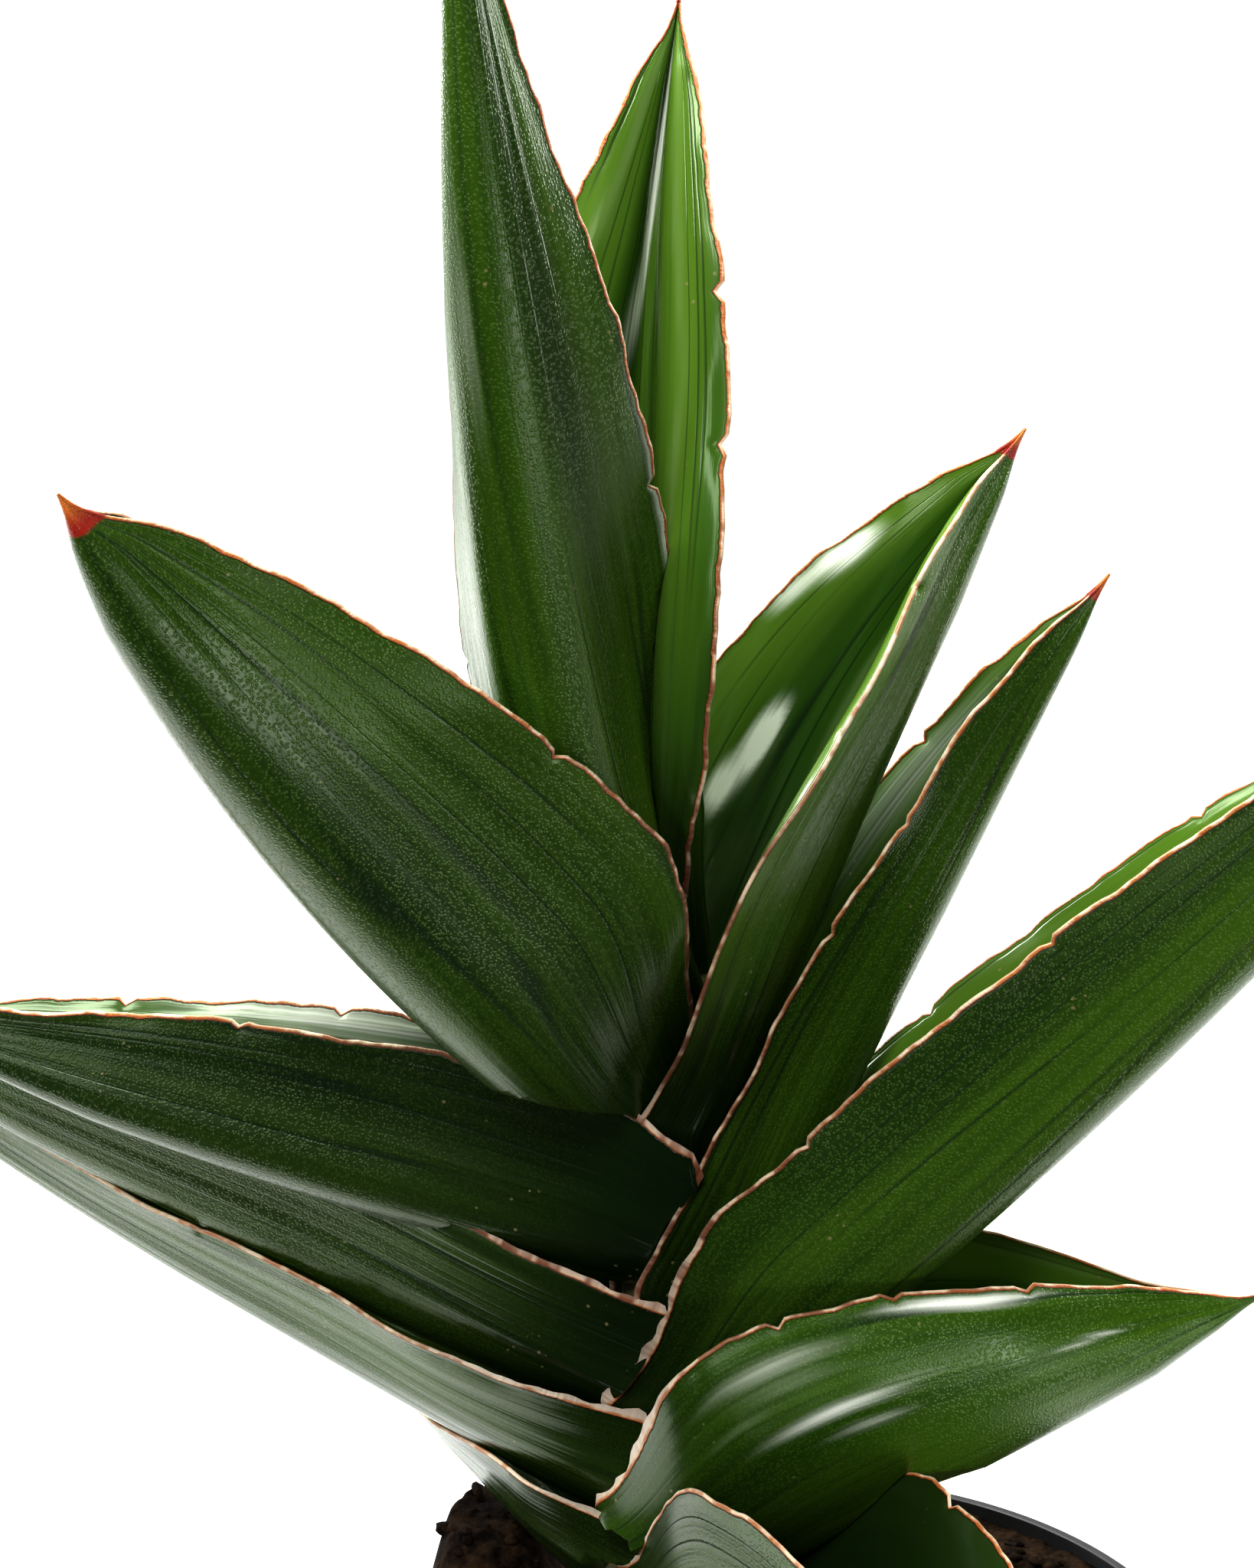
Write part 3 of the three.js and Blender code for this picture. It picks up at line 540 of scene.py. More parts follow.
def leaf_skin(leaf, rows, outer_s, inner_s, grow, fine, guard=False):
    """The closed skin of a leaf as points and faces, with its place on the leaf at each point.

    A guard is the space inside a leaf's fold, which the leaf keeps free of younger ones."""
    t = rows
    held = np.clip(t, 0, 1)
    full = leaf_widths(leaf, t)
    point, up, across = keel_frames(leaf, t)
    along = t * leaf["length"]
    if fine:
        # The last stretch is drawn in on both sides into a slender spine
        to_tip = (1 - held) * leaf["length"]
        full = full * (1 - SPINE_NARROWING * smooth(1 - to_tip / SPINE_STRETCH))
    fade = smooth((t[-1] - t) / GUARD_FADE)

    def place(s, side, direction):
        wall_across, wall_up, slope = section_wall(leaf, t, full, s)
        if guard:
            depth = GUARD_THINNEST + GUARD_DEPTH * fade if direction > 0 else 0 * fade
            away = np.repeat(depth[:, None], s.shape[1], 1)
        else:
            away = thickness_at(full, held, s) / 2 + grow
        trim = margin_trim(leaf, t, side, fine)
        if fine:
            away = with_relief(leaf, t, full, s, side, direction, away)
            trim = trim[:, None] * smooth(1 - (1 - s) * full[:, None] / TRIMMED_WIDTH)
        else:
            edge = GUARD_CREST * fade if guard and direction > 0 else grow
            trim = (trim + edge)[:, None] * (s >= 1 - 1e-9)
        a = wall_across + direction * away * np.sin(slope)
        if direction < 0:
            a = np.maximum(a, 0.3 * wall_across)
        a = a + trim * np.cos(slope)
        u = wall_up - direction * away * np.cos(slope) + trim * np.sin(slope)
        sideways = across[:, None, :]
        upward = up[:, None, :]
        spot = point[:, None, :] + sideways * (side * a)[:, :, None] + upward * u[:, :, None]
        ahead = sideways * (side * np.cos(slope))[:, :, None] + upward * np.sin(slope)[:, :, None]
        return spot, ahead

    outer_line = column_shares(outer_s, full, fine)
    inner_line = column_shares(inner_s, full, fine)
    columns = []
    marks = []

    def add(spots, s, side, face, rim):
        for c in range(spots.shape[1]):
            columns.append(spots[:, c])
            marks.append(np.stack([s[:, c] * side, np.full(len(t), face), rim[:, c]], -1))

    def crest(side, forward):
        # The rounded margin, drawn out into the membrane near the foot
        outer, ahead = place(outer_line[:, -1:], side, 1)
        inner, _ = place(inner_line[:, -1:], side, -1)
        middle = (outer + inner) / 2
        half = np.linalg.norm(outer - inner, axis=2, keepdims=True) / 2
        frill = frill_at(leaf, t, side)[:, None, None]
        one = np.ones((len(t), 1))
        near = 1 - CREST_SHIFT
        rounding = ahead * half * CREST_ROUNDING
        rounds = [
            (outer * near + inner * CREST_SHIFT + rounding, 0.0, 0.3),
            (middle + ahead * (half + frill), 0.5, 0.6),
            (outer * CREST_SHIFT + inner * near + rounding, 1.0, 0.3),
        ]
        for spots, face, away in rounds if forward else rounds[::-1]:
            beyond = -away - (frill[:, :, 0] if face == 0.5 else 0)
            add(spots, one, side, face, one * beyond)

    for side in (-1, 1):
        s = outer_line if side > 0 else outer_line[:, :0:-1]
        spots, _ = place(s, side, 1)
        add(spots, s, side, 0.0, (1 - s) * full[:, None])
    if fine:
        crest(1, True)
    for side in (1, -1):
        s = inner_line[:, ::-1] if side > 0 else inner_line[:, 1:]
        spots, _ = place(s, side, -1)
        add(spots, s, side, 1.0, (1 - s) * full[:, None])
    if fine:
        crest(-1, False)
    ring = len(columns)
    points = np.stack(columns, 1).reshape(-1, 3)
    mark = np.stack(marks, 1)
    faces = skin_faces(len(t), ring, outer_line.shape[1] * 2 - 1)
    shares, distances, remains = [
        np.repeat(values[:, None], ring, 1) for values in (held, along, (1 - held) * leaf["length"])
    ]
    places = np.dstack([shares, mark[:, :, :2]]).reshape(-1, 3)
    lengths = np.dstack([distances, remains, mark[:, :, 2]]).reshape(-1, 3)
    return points, faces, places, lengths


def outward(points, faces):
    """The faces, turned if need be so that they look out of the solid."""
    first = points[[f[0] for f in faces]]
    second = points[[f[1] for f in faces]]
    third = points[[f[2] for f in faces]]
    volume = (first * np.cross(second, third)).sum()
    quads = [f for f in faces if len(f) == 4]
    a = points[[f[0] for f in quads]]
    b = points[[f[2] for f in quads]]
    c = points[[f[3] for f in quads]]
    volume += (a * np.cross(b, c)).sum()
    return faces if volume > 0 else [f[::-1] for f in faces]


def solid_from(name, points, faces):
    return mesh_object(name, (points * MM).tolist(), outward(points, faces))


def painted_light_at(number, places):
    """How much painted highlight, above zero, and painted shade, below zero, a leaf has at these places,
    from the patches listed for it.
    """
    total = np.zeros(len(places))
    for leaf, face, middle, half, share, shift, spread, strength in PAINTED_LIGHT_PATCHES:
        if leaf != number:
            continue
        away = (places[:, 0] - middle) / half
        aside = (places[:, 1] - share - shift * (places[:, 0] - middle)) / spread
        total += strength * np.exp(-away ** 2 - aside ** 2) * (np.abs(places[:, 2] - face) < 0.4)
    return total


def stem_room():
    """The stem with a gap round it, for cutting the leaves."""
    heights = [80, 104, 116, 150, 185, 220, STEM_TOP + GAP]
    sides = STEM_SIDES
    points = []
    for z in heights:
        centre = stem_point(z)
        share = min(1, max(0, (z - STEM_LOW[2]) / (STEM_TOP - STEM_LOW[2])))
        radius = STEM_RADIUS_LOW + (STEM_RADIUS_TOP - STEM_RADIUS_LOW) * share + GAP
        points += [[centre[0] + x, centre[1] + y, z] for x, y in circle(radius, sides)]
    faces = [list(range(sides))[::-1]]
    for row in range(len(heights) - 1):
        for i in range(sides):
            a = row * sides + i
            b = row * sides + (i + 1) % sides
            faces.append([a, b, b + sides, a + sides])
    faces.append([(len(heights) - 1) * sides + i for i in range(sides)])
    return mesh_object("stem_room", (np.array(points) * MM).tolist(), faces)


def leaf_room(name, leaf, last, grow, guard):
    """A coarse solid of a leaf or of its guard, for cutting the younger leaves."""
    rows = leaf_rows(leaf, ROOM_SPACING, last)
    points, faces, _, _ = leaf_skin(leaf, rows, ROOM_OUTER, ROOM_INNER, grow, False, guard)
    return solid_from(name, points, faces)


def rooms_near(rooms, points):
    """The rooms whose boxes meet the box of these points."""
    low = points.min(0)
    high = points.max(0)
    near = []
    for room in rooms:
        corners = vertex_array(room.data)
        if (corners.min(0) < high).all() and (corners.max(0) > low).all():
            near.append(room)
    return near


def build_leaves():
    """Every leaf, each cut clear of the stem and of the older leaves that hold it."""
    made = []
    rooms = [stem_room()]
    for number, values in enumerate(LEAVES, 1):
        leaf = dict(zip(KEYS, values))
        rows = leaf_rows(leaf, FINE_SPACING)
        points, faces, places, lengths = leaf_skin(leaf, rows, FINE_OUTER, FINE_INNER, 0, True)
        blade = solid_from(f"blade_{number:02d}", points, faces)
        cut(blade, rooms_near(rooms, points * MM))
        keep_largest(blade)
        tree = KDTree(len(points))
        for i, p in enumerate(points * MM):
            tree.insert(p, i)
        tree.balance()
        nearest = np.array([tree.find(v.co)[1] for v in blade.data.vertices])
        set_floats(blade.data, "leaf_place", places[nearest])
        set_floats(blade.data, "leaf_mm", lengths[nearest])
        facts = np.tile([unit_hash(number), leaf["vivid"], leaf["spine"]], (len(nearest), 1))
        set_floats(blade.data, "leaf_facts", facts)
        # The patches of painted highlight and painted shade
        set_floats(blade.data, "leaf_painted_light", painted_light_at(number, places[nearest]))
        smooth_shading(blade, SHARP_ANGLE)
        made.append(blade)
        rooms.append(leaf_room(f"room_{number:02d}", leaf, 1.0, GAP, False))
        rooms.append(leaf_room(f"guard_{number:02d}", leaf, leaf["guard"], 0, True))
    return made, rooms


# Materials


class Tree:
    """Short calls for building one material's nodes."""

    def __init__(self, name):
        self.material = bpy.data.materials.new(name)
        self.material.use_nodes = True
        self.nodes = self.material.node_tree.nodes
        self.links = self.material.node_tree.links
        self.shader = self.nodes["Principled BSDF"]

    def put(self, socket, value):
        if isinstance(value, bpy.types.NodeSocket):
            self.links.new(value, socket)
        elif isinstance(value, (tuple, list)) and len(value) == 3 and socket.type == "RGBA":
            socket.default_value = (*value, 1)
        else:
            socket.default_value = value

    def node(self, kind, inputs=None, **settings):
        made = self.nodes.new(kind)
        for key, value in settings.items():
            setattr(made, key, value)
        for key, value in (inputs or {}).items():
            self.put(made.inputs[key], value)
        return made

    def math(self, operation, a, b=0.0, clamp=False):
        made = self.node("ShaderNodeMath", {0: a, 1: b}, operation=operation, use_clamp=clamp)
        return made.outputs[0]

    def times(self, first, *others):
        for factor in others:
            first = self.math("MULTIPLY", first, factor)
        return first

    def plus(self, a, b, clamp=False):
        return self.math("ADD", a, b, clamp)

    def ramp(self, value, low, high, to_low=0.0, to_high=1.0, soft=True):
        made = self.node(
            "ShaderNodeMapRange",
            {"Value": value, "From Min": low, "From Max": high, "To Min": to_low, "To Max": to_high},
            interpolation_type="SMOOTHSTEP" if soft else "LINEAR",
        )
        return made.outputs["Result"]

    def mix(self, share, a, b):
        made = self.node("ShaderNodeMix", data_type="RGBA")
        self.put(made.inputs[0], share)
        self.put(made.inputs[6], a)
        self.put(made.inputs[7], b)
        return made.outputs[2]

    def combine(self, x, y, z):
        return self.node("ShaderNodeCombineXYZ", {0: x, 1: y, 2: z}).outputs[0]

    def split(self, vector):
        outputs = self.node("ShaderNodeSeparateXYZ", {0: vector}).outputs
        return outputs[0], outputs[1], outputs[2]

    def attribute(self, name, output):
        return self.node("ShaderNodeAttribute", attribute_name=name).outputs[output]

    def object_place(self):
        return self.node("ShaderNodeTexCoord").outputs["Object"]

    def noise(self, vector, scale, detail, roughness=0.5):
        inputs = {"Vector": vector, "Scale": scale, "Detail": detail, "Roughness": roughness}
        return self.node("ShaderNodeTexNoise", inputs).outputs["Fac"]

    def cells(self, vector, scale):
        """The distance from the middle of the nearest cell."""
        inputs = {"Vector": vector, "Scale": scale, "Detail": 0.0}
        return self.node("ShaderNodeTexVoronoi", inputs).outputs["Distance"]

    def bump(self, height, distance, strength=1.0, normal=None):
        inputs = {"Height": height, "Distance": distance, "Strength": strength}
        if normal is not None:
            inputs["Normal"] = normal
        return self.node("ShaderNodeBump", inputs).outputs[0]

    def finish(self, **sockets):
        for key, value in sockets.items():
            self.put(self.shader.inputs[key.replace("_", " ")], value)
        return self.material


def leaf_material():
    t = Tree("leaf_surface")
    _, across, face = t.split(t.attribute("leaf_place", "Vector"))
    along, to_tip, rim = t.split(t.attribute("leaf_mm", "Vector"))
    seed, vivid, spine = t.split(t.attribute("leaf_facts", "Vector"))
    painted_light_amount = t.attribute("leaf_painted_light", "Fac")
    spot = t.object_place()
    height = t.split(spot)[2]
    outer = t.math("SUBTRACT", 1.0, face)
    shift = t.times(seed, 37.0)

    def lengthwise(by_width, by_length, detail, roughness=0.5):
        """A noise drawn out along the leaf."""
        place = t.combine(t.times(across, by_width), t.times(along, by_length), shift)
        return t.noise(place, 1.0, detail, roughness)

    def margin_noise(by_length, roughness):
        return t.noise(t.combine(t.times(along, by_length), shift, across), 1.0, 2.0, roughness)

    # Fine pebbled grain, and lines that run along the leaf: contours of a drawn out noise, broken up
    grain = t.ramp(t.cells(spot, 1900), 0.12, 0.55, 1.0, 0.0)
    lines = lengthwise(4.2, 0.0022, 1.0, 0.55)
    apart = t.math("ABSOLUTE", t.math("SUBTRACT", t.math("FRACT", t.times(lines, 6.0)), 0.5))
    dashes = lengthwise(7.0, 0.012, 1.0)
    furrow = t.times(t.ramp(apart, 0.0, 0.13, 1.0, 0.0), t.ramp(dashes, 0.34, 0.58))
    streaks = lengthwise(34.0, 0.018, 2.0, 0.6)
    blotches = lengthwise(2.6, 0.006, 2.0)

    # Green body of the leaf
    # Painted light: the more vivid a leaf is listed, the yellower and brighter it is painted, partly its
    # own colour and partly the light on lit and backlit leaves
    lively_and_lit = t.math("MAXIMUM", vivid, 0.0)
    dark = t.mix(lively_and_lit, *OUTER_DARK)
    light = t.mix(lively_and_lit, *OUTER_LIGHT)
    tone = t.plus(t.times(blotches, 0.85), t.times(streaks, 0.30))
    green = t.mix(t.ramp(tone, 0.32, 0.82), dark, light)
    inner_green = t.mix(t.ramp(blotches, 0.3, 0.7), INNER_DARK, INNER_LIGHT)
    green = t.mix(t.times(face, 0.85), green, inner_green)
    # Pale silvery streaks on the inner face: partly the leaf's own streaking, partly painted gloss
    # highlights
    silver_and_painted_gloss = t.ramp(lengthwise(5.0, 0.022, 2.0), 0.53, 0.74, 0.0, 0.22)
    green = t.mix(t.times(silver_and_painted_gloss, face), green, SILVER_AND_GLOSS_GREEN)
    green = t.mix(t.times(grain, outer, 0.52), green, t.mix(lively_and_lit, *PEBBLE_GREEN))
    green = t.mix(t.times(furrow, 0.7), green, FURROW_GREEN)

    # Painted shade at the foot and on the darker leaves, specks, and soft patches of painted highlight and
    # painted shade
    # Painted shade: the foot of each leaf is painted dark where the leaves clasp and shade one another,
    # reaching further along the inner face and lighter near the soil
    reach = t.plus(58.0, t.times(face, 26.0))
    foot_shade_depth = t.math("MAXIMUM", t.ramp(height, 0.13, 0.19, 0.35, 0.95), t.times(face, 0.95))
    foot = t.ramp(t.plus(along, t.times(streaks, 12.0)), 8.0, reach, foot_shade_depth, 0.0)
    green = t.mix(foot, green, PAINTED_FOOT_SHADE)
    # Painted shade: a leaf listed below zero is painted darker, for the shade on leaves lying under others
    green = t.mix(t.ramp(vivid, -1.0, 0.0, 1.0, 0.0, False), green, PAINTED_SHADE_GREEN)
    scattered = t.ramp(t.noise(spot, 60, 1.0), 0.62, 0.66)
    speck = t.times(t.ramp(t.cells(spot, 420), 0.10, 0.16, 1.0, 0.0), scattered)
    green = t.mix(t.times(speck, 0.6), green, SPECK_BROWN)
    # Painted highlights where a patch is above zero, broken into streaks, and painted shade where it is
    # below
    painted_highlight_streaks = t.times(painted_light_amount, t.plus(0.35, t.times(streaks, 1.3)))
    green = t.mix(t.ramp(painted_light_amount, -0.9, 0.0, 0.8, 0.0), green, PAINTED_SHADE_GREEN)
    green = t.mix(t.ramp(painted_highlight_streaks, 0.08, 0.85, 0.0, 0.96), green, PAINTED_HIGHLIGHT_WHITE)

    # Margin: a copper line under a pale dry crest, painted a darker brown near the stem as shade
    ragged = margin_noise(0.9, 0.65)
    patchy = margin_noise(0.22, 0.6)
    wander = t.times(t.math("SUBTRACT", ragged, 0.5), 0.7)
    depth = t.plus(rim, wander)
    copper = t.mix(t.ramp(ragged, 0.35, 0.68), COPPER_RED, COPPER_BROWN)
    crest = t.mix(t.ramp(patchy, 0.40, 0.58), CREST_ORANGE, CREST_CREAM)
    crest = t.mix(t.ramp(rim, -0.7, -0.35, 1.0, 0.0), crest, t.mix(ragged, DRY_TAN, DRY_WHITE))
    band = t.mix(t.ramp(depth, -0.16, 0.10), crest, copper)
    # Painted shade: near the stem the margin is painted a patchy dark brown
    near_stem = t.times(t.ramp(along, 40, 110, 1.0, 0.0), t.ramp(height, 0.160, 0.200))
    stem_shade = t.times(near_stem, t.ramp(patchy, 0.44, 0.60, 0.92, 0.40))
    band = t.mix(stem_shade, band, PAINTED_SHADE_BROWN)
    band = t.mix(t.ramp(depth, 0.18, 0.30), band, MARGIN_SHADE)
    colour = t.mix(t.ramp(depth, 0.26, 0.42), band, green)

    # Spine: orange at the point, deep red at its root
    point = t.math("DIVIDE", to_tip, spine)
    hot = t.mix(t.ramp(point, 0.15, 0.85), SPINE_ORANGE, SPINE_RED)
    spiny = t.ramp(t.plus(point, t.times(wander, 0.25)), 0.93, 1.04, 1.0, 0.0)
    colour = t.mix(spiny, colour, hot)

    margin_share = t.ramp(depth, 0.25, 0.5, 1.0, 0.0)
    rough = t.plus(0.24, t.times(streaks, 0.08))
    rough = t.plus(rough, t.times(face, -0.10))
    rough = t.plus(rough, t.times(foot, -0.10))
    rough = t.plus(rough, t.times(margin_share, 0.22), clamp=True)

    pebbled = t.times(grain, outer, t.ramp(along, 25, 70, 0.1, 1.0))
    streaked = t.times(streaks, t.plus(1.0, t.times(face, -0.6)))
    relief = t.bump(pebbled, 0.00006, 0.75)
    relief = t.bump(streaked, 0.00014, 0.7, relief)
    relief = t.bump(t.times(furrow, -1.0), 0.00008, 0.6, relief)
    relief = t.bump(t.times(ragged, margin_share), 0.00035, 0.8, relief)
    return t.finish(Base_Color=colour, Roughness=rough, Normal=relief,
                    Specular_IOR_Level=0.5, Specular_Tint=LEAF_TINT)


def soil_material():
    t = Tree("potting_mix")
    spot = t.object_place()
    coarse = t.noise(spot, 260, 6.0, 0.65)
    fine = t.noise(spot, 1300, 4.0, 0.7)
    fibres = t.ramp(t.noise(spot, 90, 8.0, 0.8), 0.68, 0.72)
    brown = t.mix(t.ramp(coarse, 0.35, 0.68), SOIL_BLACK, SOIL_BROWN)
    brown = t.mix(t.ramp(fine, 0.58, 0.78), brown, SOIL_GRAIN)
    brown = t.mix(t.times(fibres, 0.5), brown, SOIL_FIBRE)
    relief = t.bump(t.cells(spot, 420), 0.0010, 0.7)
    relief = t.bump(fine, 0.0006, 0.8, relief)
    return t.finish(Base_Color=brown, Roughness=0.92, Normal=relief, Specular_IOR_Level=0.05)


def plastic_material():
    t = Tree("black_plastic")
    spot = t.object_place()
    cloudy = t.noise(spot, 45, 5.0, 0.6)
    fine = t.noise(spot, 2600, 2.0, 0.6)
    near_rim = t.ramp(t.split(spot)[2], 0.10, 0.121, 0.15, 0.75)
    dusty = t.times(t.ramp(cloudy, 0.5, 0.75), near_rim)
    colour = t.mix(t.ramp(fine, 0.3, 0.7), PLASTIC_BLACK, PLASTIC_GREY)
    colour = t.mix(t.times(dusty, 0.35), colour, PLASTIC_DUST)
    rough = t.plus(t.ramp(cloudy, 0.3, 0.7, 0.36, 0.52), t.times(dusty, 0.25))
    return t.finish(Base_Color=colour, Roughness=rough, Normal=t.bump(fine, 0.00006, 0.6))


def stem_material():
    t = Tree("stem_surface")
    spot = t.object_place()
    rings = t.noise(t.combine(0.0, 0.0, t.split(spot)[2]), 300, 3.0)
    mottled = t.noise(spot, 500, 4.0, 0.6)
    tone = t.plus(t.times(rings, 0.6), t.times(mottled, 0.4))
    colour = t.mix(t.ramp(tone, 0.35, 0.65), STEM_GREEN, STEM_TAN)
    return t.finish(Base_Color=colour, Roughness=0.6, Normal=t.bump(tone, 0.0004, 0.7))


def floor_material():
    t = Tree("pale_floor")
    pale = t.mix(t.noise(t.object_place(), 3.0, 3.0), (0.90, 0.90, 0.90), (0.93, 0.93, 0.93))
    return t.finish(Base_Color=pale, Roughness=0.75, Specular_IOR_Level=0.2)


# Soil and pot


def pot_radius(z):
    """The outer radius of the pot's wall below the band."""
    foot = POT_HEIGHT - POT_BAND_HEIGHT
    return POT_BASE_RADIUS + (POT_RIM_RADIUS - POT_BAND_STEP - POT_BASE_RADIUS) * z / foot


def pot_inner_radius(z):
    """The inner radius of the pot's wall, or of its band near the top."""
    if z > POT_HEIGHT - POT_BAND_HEIGHT:
        return POT_RIM_RADIUS - POT_EDGE - POT_WALL
    return pot_radius(z) - POT_WALL


def soil_height(x, y):
    """The height of the soil's surface, with its mound, its roll and its clods."""
    away = math.hypot((x - MOUND_X) / MOUND_WIDTH, (y - MOUND_Y) / MOUND_LENGTH)
    mound = MOUND_HEIGHT * (1 - smooth((away - MOUND_CREST) / MOUND_SLOPE))
    rolling = 0.5 * math.sin(x / 7.3 + 1) * math.cos(y / 6.1) + 0.4 * math.sin(x / 3.7 - y / 4.3)
    edge = pot_inner_radius(SOIL_LEVEL) + 3.5 - math.hypot(x, y)
    fade = float(smooth(edge / 8))
    p = Vector((x, y, 0))
    clods = noise.fractal(p / 6.5, 0.9, 2.1, 4)
    cells = noise.voronoi(p / 3.4)[0]
    lumps = 1.2 * clods + 1.5 * (0.45 - cells[0]) * min(1.0, cells[1] - cells[0] + 0.3)
    return SOIL_LEVEL + (mound + rolling) * fade + lumps * (0.25 + 0.75 * fade)


def build_soil(rooms):
    """The soil with its mound and clods, cut round the stem and the feet of the lowest leaves."""
    sides = SOIL_SIDES
    top = pot_inner_radius(SOIL_LEVEL) - GAP
    points = [[0, 0, soil_height(0, 0)]]
    foot = POT_HEIGHT - POT_BAND_HEIGHT
    for r in range(1, SOIL_RINGS + 1):
        radius = top * (r / SOIL_RINGS) ** 0.85
        points += [[x, y, soil_height(x, y)] for x, y in circle(radius, sides)]
    lower = [
        (pot_inner_radius(foot + 2) - GAP, foot + 2),
        (pot_inner_radius(foot - 1) - GAP * 2, foot - 1),
        (pot_inner_radius(POT_FLOOR) - GAP * 2, POT_FLOOR + GAP),
    ]
    for radius, z in lower:
        points += [[x, y, z] for x, y in circle(radius, sides)]
    points.append([0, 0, POT_FLOOR + GAP])
    faces = []
    rows = SOIL_RINGS + len(lower)
    for i in range(sides):
        nxt = (i + 1) % sides
        faces.append([0, 1 + i, 1 + nxt])
        for r in range(rows - 1):
            a = 1 + r * sides + i
            b = 1 + r * sides + nxt
            faces.append([a, a + sides, b + sides, b])
        faces.append([1 + (rows - 1) * sides + i, len(points) - 1, 1 + (rows - 1) * sides + nxt])
    made = mesh_object("potting_soil", (np.array(points) * MM).tolist(), faces)
    cut(made, rooms)
    keep_largest(made)
    return made


def surface_tree(piece):
    """The piece's surface, for finding what lies above or near it."""
    points = [v.co for v in piece.data.vertices]
    faces = [list(f.vertices) for f in piece.data.polygons]
    return BVHTree.FromPolygons(points, faces)


def build_crumbs(soil, leaves):
    """Loose clods, bark bits and fibres lying on the soil."""
    draw = random.Random(7)
    ground = surface_tree(soil)
    others = [surface_tree(leaf) for leaf in leaves]
    ball = bmesh.new()
    bmesh.ops.create_icosphere(ball, subdivisions=2, radius=1)
    shape = [v.co.copy() for v in ball.verts]
    shape_faces = [[v.index for v in f.verts] for f in ball.faces]
    ball.free()
    points = []
    faces = []
    for count in range(1, CRUMB_COUNT + 1):
        radius = CRUMB_REACH * math.sqrt(draw.random())
        angle = draw.random() * math.tau
        x = radius * math.cos(angle) * MM
        y = radius * math.sin(angle) * MM
        size = (0.5 + 1.7 * draw.random() ** 2.2) * MM
        stretch = Vector((draw.uniform(0.7, 1.7), draw.uniform(0.6, 1.1), draw.uniform(0.45, 0.9)))
        turn = draw.random() * math.tau
        hit = ground.ray_cast(Vector((x, y, 0.2)), Vector((0, 0, -1)))[0]
        if hit is None or hit.z < CRUMB_LOWEST * MM:
            continue
        centre = hit + Vector((0, 0, size * 0.25))
        if any(tree.find_nearest(centre, size * 2.2)[0] is not None for tree in others):
            continue
        start = len(points)
        offset = Vector((count * 1.7, 0, 0))
        for v in shape:
            lump = 1 + 0.35 * noise.noise(v * 1.6 + offset)
            q = Vector((v.x * stretch.x, v.y * stretch.y, v.z * stretch.z)) * size * lump
            x_turned = q.x * math.cos(turn) - q.y * math.sin(turn)
            y_turned = q.x * math.sin(turn) + q.y * math.cos(turn)
            points.append(centre + Vector((x_turned, y_turned, q.z)))
        faces += [[start + i for i in f] for f in shape_faces]
    made = mesh_object("soil_crumbs", [tuple(p) for p in points], faces)
    smooth_shading(made)
    return made


def pot_profile():
    """Radius and height along the pot's section, from the middle of its underside round to its floor."""
    base = POT_BASE_RADIUS
    foot = POT_HEIGHT - POT_BAND_HEIGHT
    rim = POT_RIM_RADIUS
    top = POT_HEIGHT
    inner = pot_inner_radius(top)
    underside = [(0, 0), (30, 0), (base - 1.4, 0), (base - 0.6, 0.15), (base - 0.1, 0.6), (base + 0.1, 1.3)]
    wall = [(pot_radius(z), z) for z in range(6, int(foot) - 1, 5)]
    wall += [(pot_radius(foot - 0.8), foot - 0.8), (pot_radius(foot), foot - 0.2)]
    wall += [(pot_radius(foot) + 0.5, foot)]
    band = [(rim - 0.9, foot + 0.1), (rim - 0.4, foot + 0.4), (rim - 0.2, foot + 1)]
    lip = [(rim, top - 1.8), (rim, top - 0.7), (rim - 0.18, top - 0.22), (rim - 0.6, top)]
    lip += [(inner + 0.6, top), (inner + 0.16, top - 0.2), (inner, top - 0.7)]
    inside = [(inner, foot + 1.2), (pot_inner_radius(foot - 1), foot - 1)]
    inside += [(pot_inner_radius(POT_FLOOR), POT_FLOOR), (0, POT_FLOOR)]
    return underside + wall + band + lip + inside


def drain_drill(number):
    """The cylinder that cuts one of the drain holes."""
    angle = number / DRAIN_COUNT * math.tau
    x = DRAIN_CIRCLE * math.cos(angle)
    y = DRAIN_CIRCLE * math.sin(angle)
    ring = circle(DRAIN_RADIUS, DRAIN_SIDES)
    corners = [((x + across) * MM, (y + along) * MM, z * MM) for z in (-2, 5) for across, along in ring]
    low = list(range(DRAIN_SIDES))
    high = [DRAIN_SIDES + k for k in low]
    wall = [[k, (k + 1) % DRAIN_SIDES, DRAIN_SIDES + (k + 1) % DRAIN_SIDES, DRAIN_SIDES + k] for k in low]
    return mesh_object(f"drill_{number}", corners, [low[::-1], *wall, high])


def build_pot():
    profile = pot_profile()
    sides = POT_SIDES
    points = [[0, 0, profile[0][1]]]
    for radius, z in profile[1:-1]:
        points += [[x, y, z] for x, y in circle(radius, sides)]
    points.append([0, 0, profile[-1][1]])
    rows = len(profile) - 2
    faces = []
    for i in range(sides):
        nxt = (i + 1) % sides
        faces.append([0, 1 + nxt, 1 + i])
        for row in range(rows - 1):
            a = 1 + row * sides + i
            b = 1 + row * sides + nxt
            faces.append([a, b, b + sides, a + sides])
        faces.append([1 + (rows - 1) * sides + i, 1 + (rows - 1) * sides + nxt, len(points) - 1])
    made = mesh_object("nursery_pot", (np.array(points) * MM).tolist(), faces)
    drills = [drain_drill(number) for number in range(DRAIN_COUNT)]
    cut(made, drills)
    smooth_shading(made, POT_SHARP_ANGLE)
    for drill in drills:
        bpy.data.objects.remove(drill)
    return made


# The scene


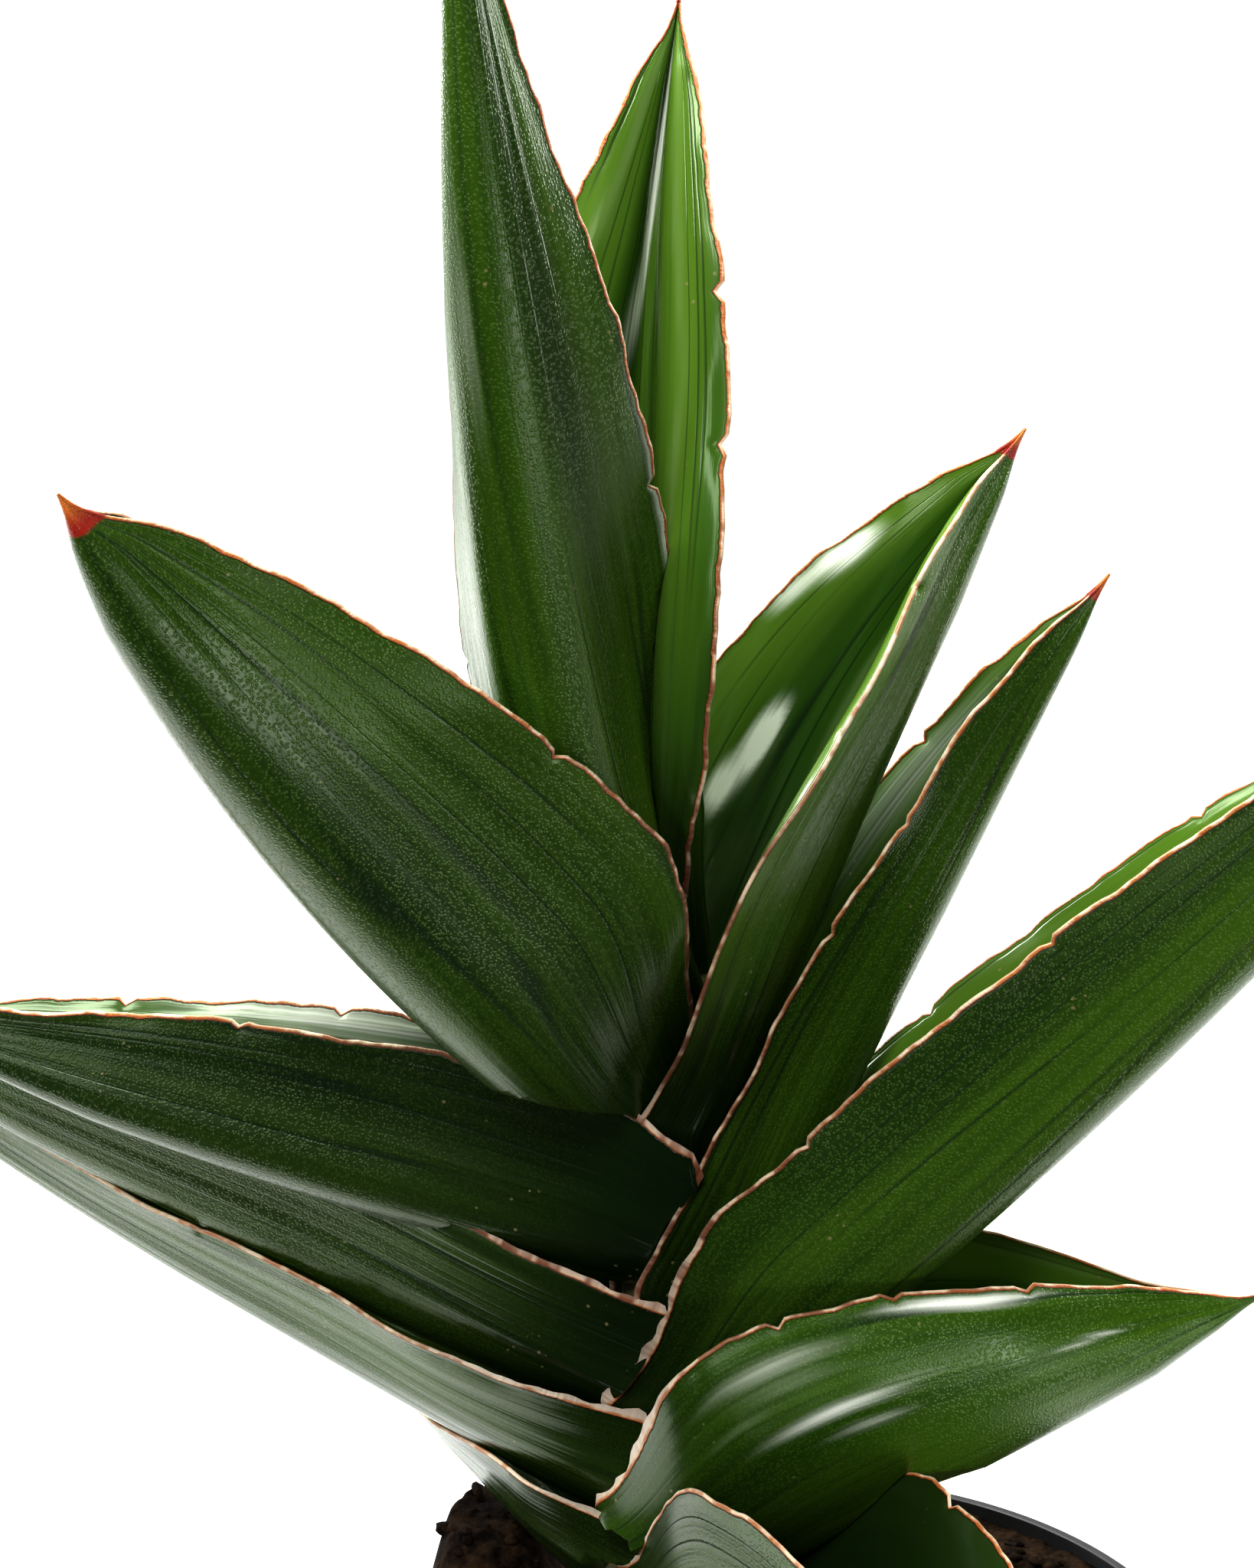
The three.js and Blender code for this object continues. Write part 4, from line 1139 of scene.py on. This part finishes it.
def dress(piece, material, slot_name, *nodes):
    """Gives a piece its material, its body and the nodes that it stands in for. The slot name is not used.
    """
    piece.data.materials.clear()
    piece.data.materials.append(material)
    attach(piece, "root")
    if nodes:
        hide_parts(*nodes)


def build_plant():
    blades, rooms = build_leaves()
    green = leaf_material()
    for number, blade in enumerate(blades, 1):
        dress(blade, green, "leaf_tissue", f"leaf_{number:02d}")
    earth = soil_material()
    planted = [room for room in rooms if room.name in ("stem_room", "room_01", "room_02", "room_03")]
    soil = build_soil(planted)
    smooth_shading(soil)
    dress(soil, earth, "potting_soil", "soil")
    crumbs = build_crumbs(soil, blades[:3])
    dress(crumbs, earth, "potting_soil")
    for room in rooms:
        bpy.data.objects.remove(room)
    dress(build_pot(), plastic_material(), "pot_plastic", "pot")
    stem_look = stem_material()
    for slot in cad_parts["stem"].material_slots:
        slot.material = stem_look


def build_camera():
    data = bpy.data.cameras.new("camera")
    data.lens = CAMERA_LENS
    data.sensor_fit = "VERTICAL"
    data.sensor_height = CAMERA_SENSOR
    data.sensor_width = CAMERA_SENSOR
    data.clip_start = 0.01
    data.clip_end = 20
    camera = bpy.data.objects.new("camera", data)
    bpy.context.scene.collection.objects.link(camera)
    back = Vector((0, -math.cos(CAMERA_TILT), math.sin(CAMERA_TILT)))
    camera.location = CAMERA_TARGET + back * CAMERA_DISTANCE
    camera.rotation_mode = "QUATERNION"
    camera.rotation_quaternion = (-back).to_track_quat("-Z", "Y")
    bpy.context.scene.camera = camera


def area_light(name, place, aim, width, height, power):
    data = bpy.data.lights.new(name, "AREA")
    data.shape = "RECTANGLE"
    data.size = width
    data.size_y = height
    data.energy = power
    lamp = bpy.data.objects.new(name, data)
    bpy.context.scene.collection.objects.link(lamp)
    lamp.location = place
    lamp.rotation_mode = "QUATERNION"
    lamp.rotation_quaternion = (Vector(aim) - Vector(place)).to_track_quat("-Z", "Y")
    lamp.visible_camera = False


def build_sky():
    """White surroundings that are dim in front, with an even white backdrop for the camera."""
    world = bpy.data.worlds.new("studio")
    bpy.context.scene.world = world
    world.use_nodes = True
    nodes = world.node_tree.nodes
    links = world.node_tree.links
    background = nodes["Background"]
    background.inputs["Color"].default_value = (1, 1, 1, 1)
    coord = nodes.new("ShaderNodeTexCoord")
    split = nodes.new("ShaderNodeSeparateXYZ")
    links.new(coord.outputs["Generated"], split.inputs[0])
    span = nodes.new("ShaderNodeMapRange")
    span.interpolation_type = "SMOOTHSTEP"
    span.inputs["From Min"].default_value = SKY_FADE_START
    span.inputs["From Max"].default_value = SKY_FADE_END
    span.inputs["To Min"].default_value = SKY_DIM
    span.inputs["To Max"].default_value = SKY_BRIGHT
    links.new(split.outputs[1], span.inputs["Value"])
    path = nodes.new("ShaderNodeLightPath")
    seen = nodes.new("ShaderNodeMix")
    links.new(path.outputs["Is Camera Ray"], seen.inputs[0])
    links.new(span.outputs["Result"], seen.inputs[2])
    seen.inputs[3].default_value = BACKDROP_BRIGHT
    links.new(seen.outputs[0], background.inputs["Strength"])


def build_floor():
    (low, high), (near, far) = FLOOR_X, FLOOR_Y
    corners = [(low, near, 0), (high, near, 0), (high, far, 0), (low, far, 0)]
    floor = mesh_object("floor", corners, [(0, 1, 2, 3)])
    floor.data.materials.append(floor_material())


def set_view():
    view = bpy.context.scene.view_settings
    view.view_transform = "Standard"
    view.look = "None"
    view.exposure = VIEW_EXPOSURE
    view.gamma = VIEW_GAMMA


build_camera()
build_plant()
build_sky()
for light in LIGHTS:
    area_light(*light)
build_floor()
set_view()

bpy.context.view_layer.update()
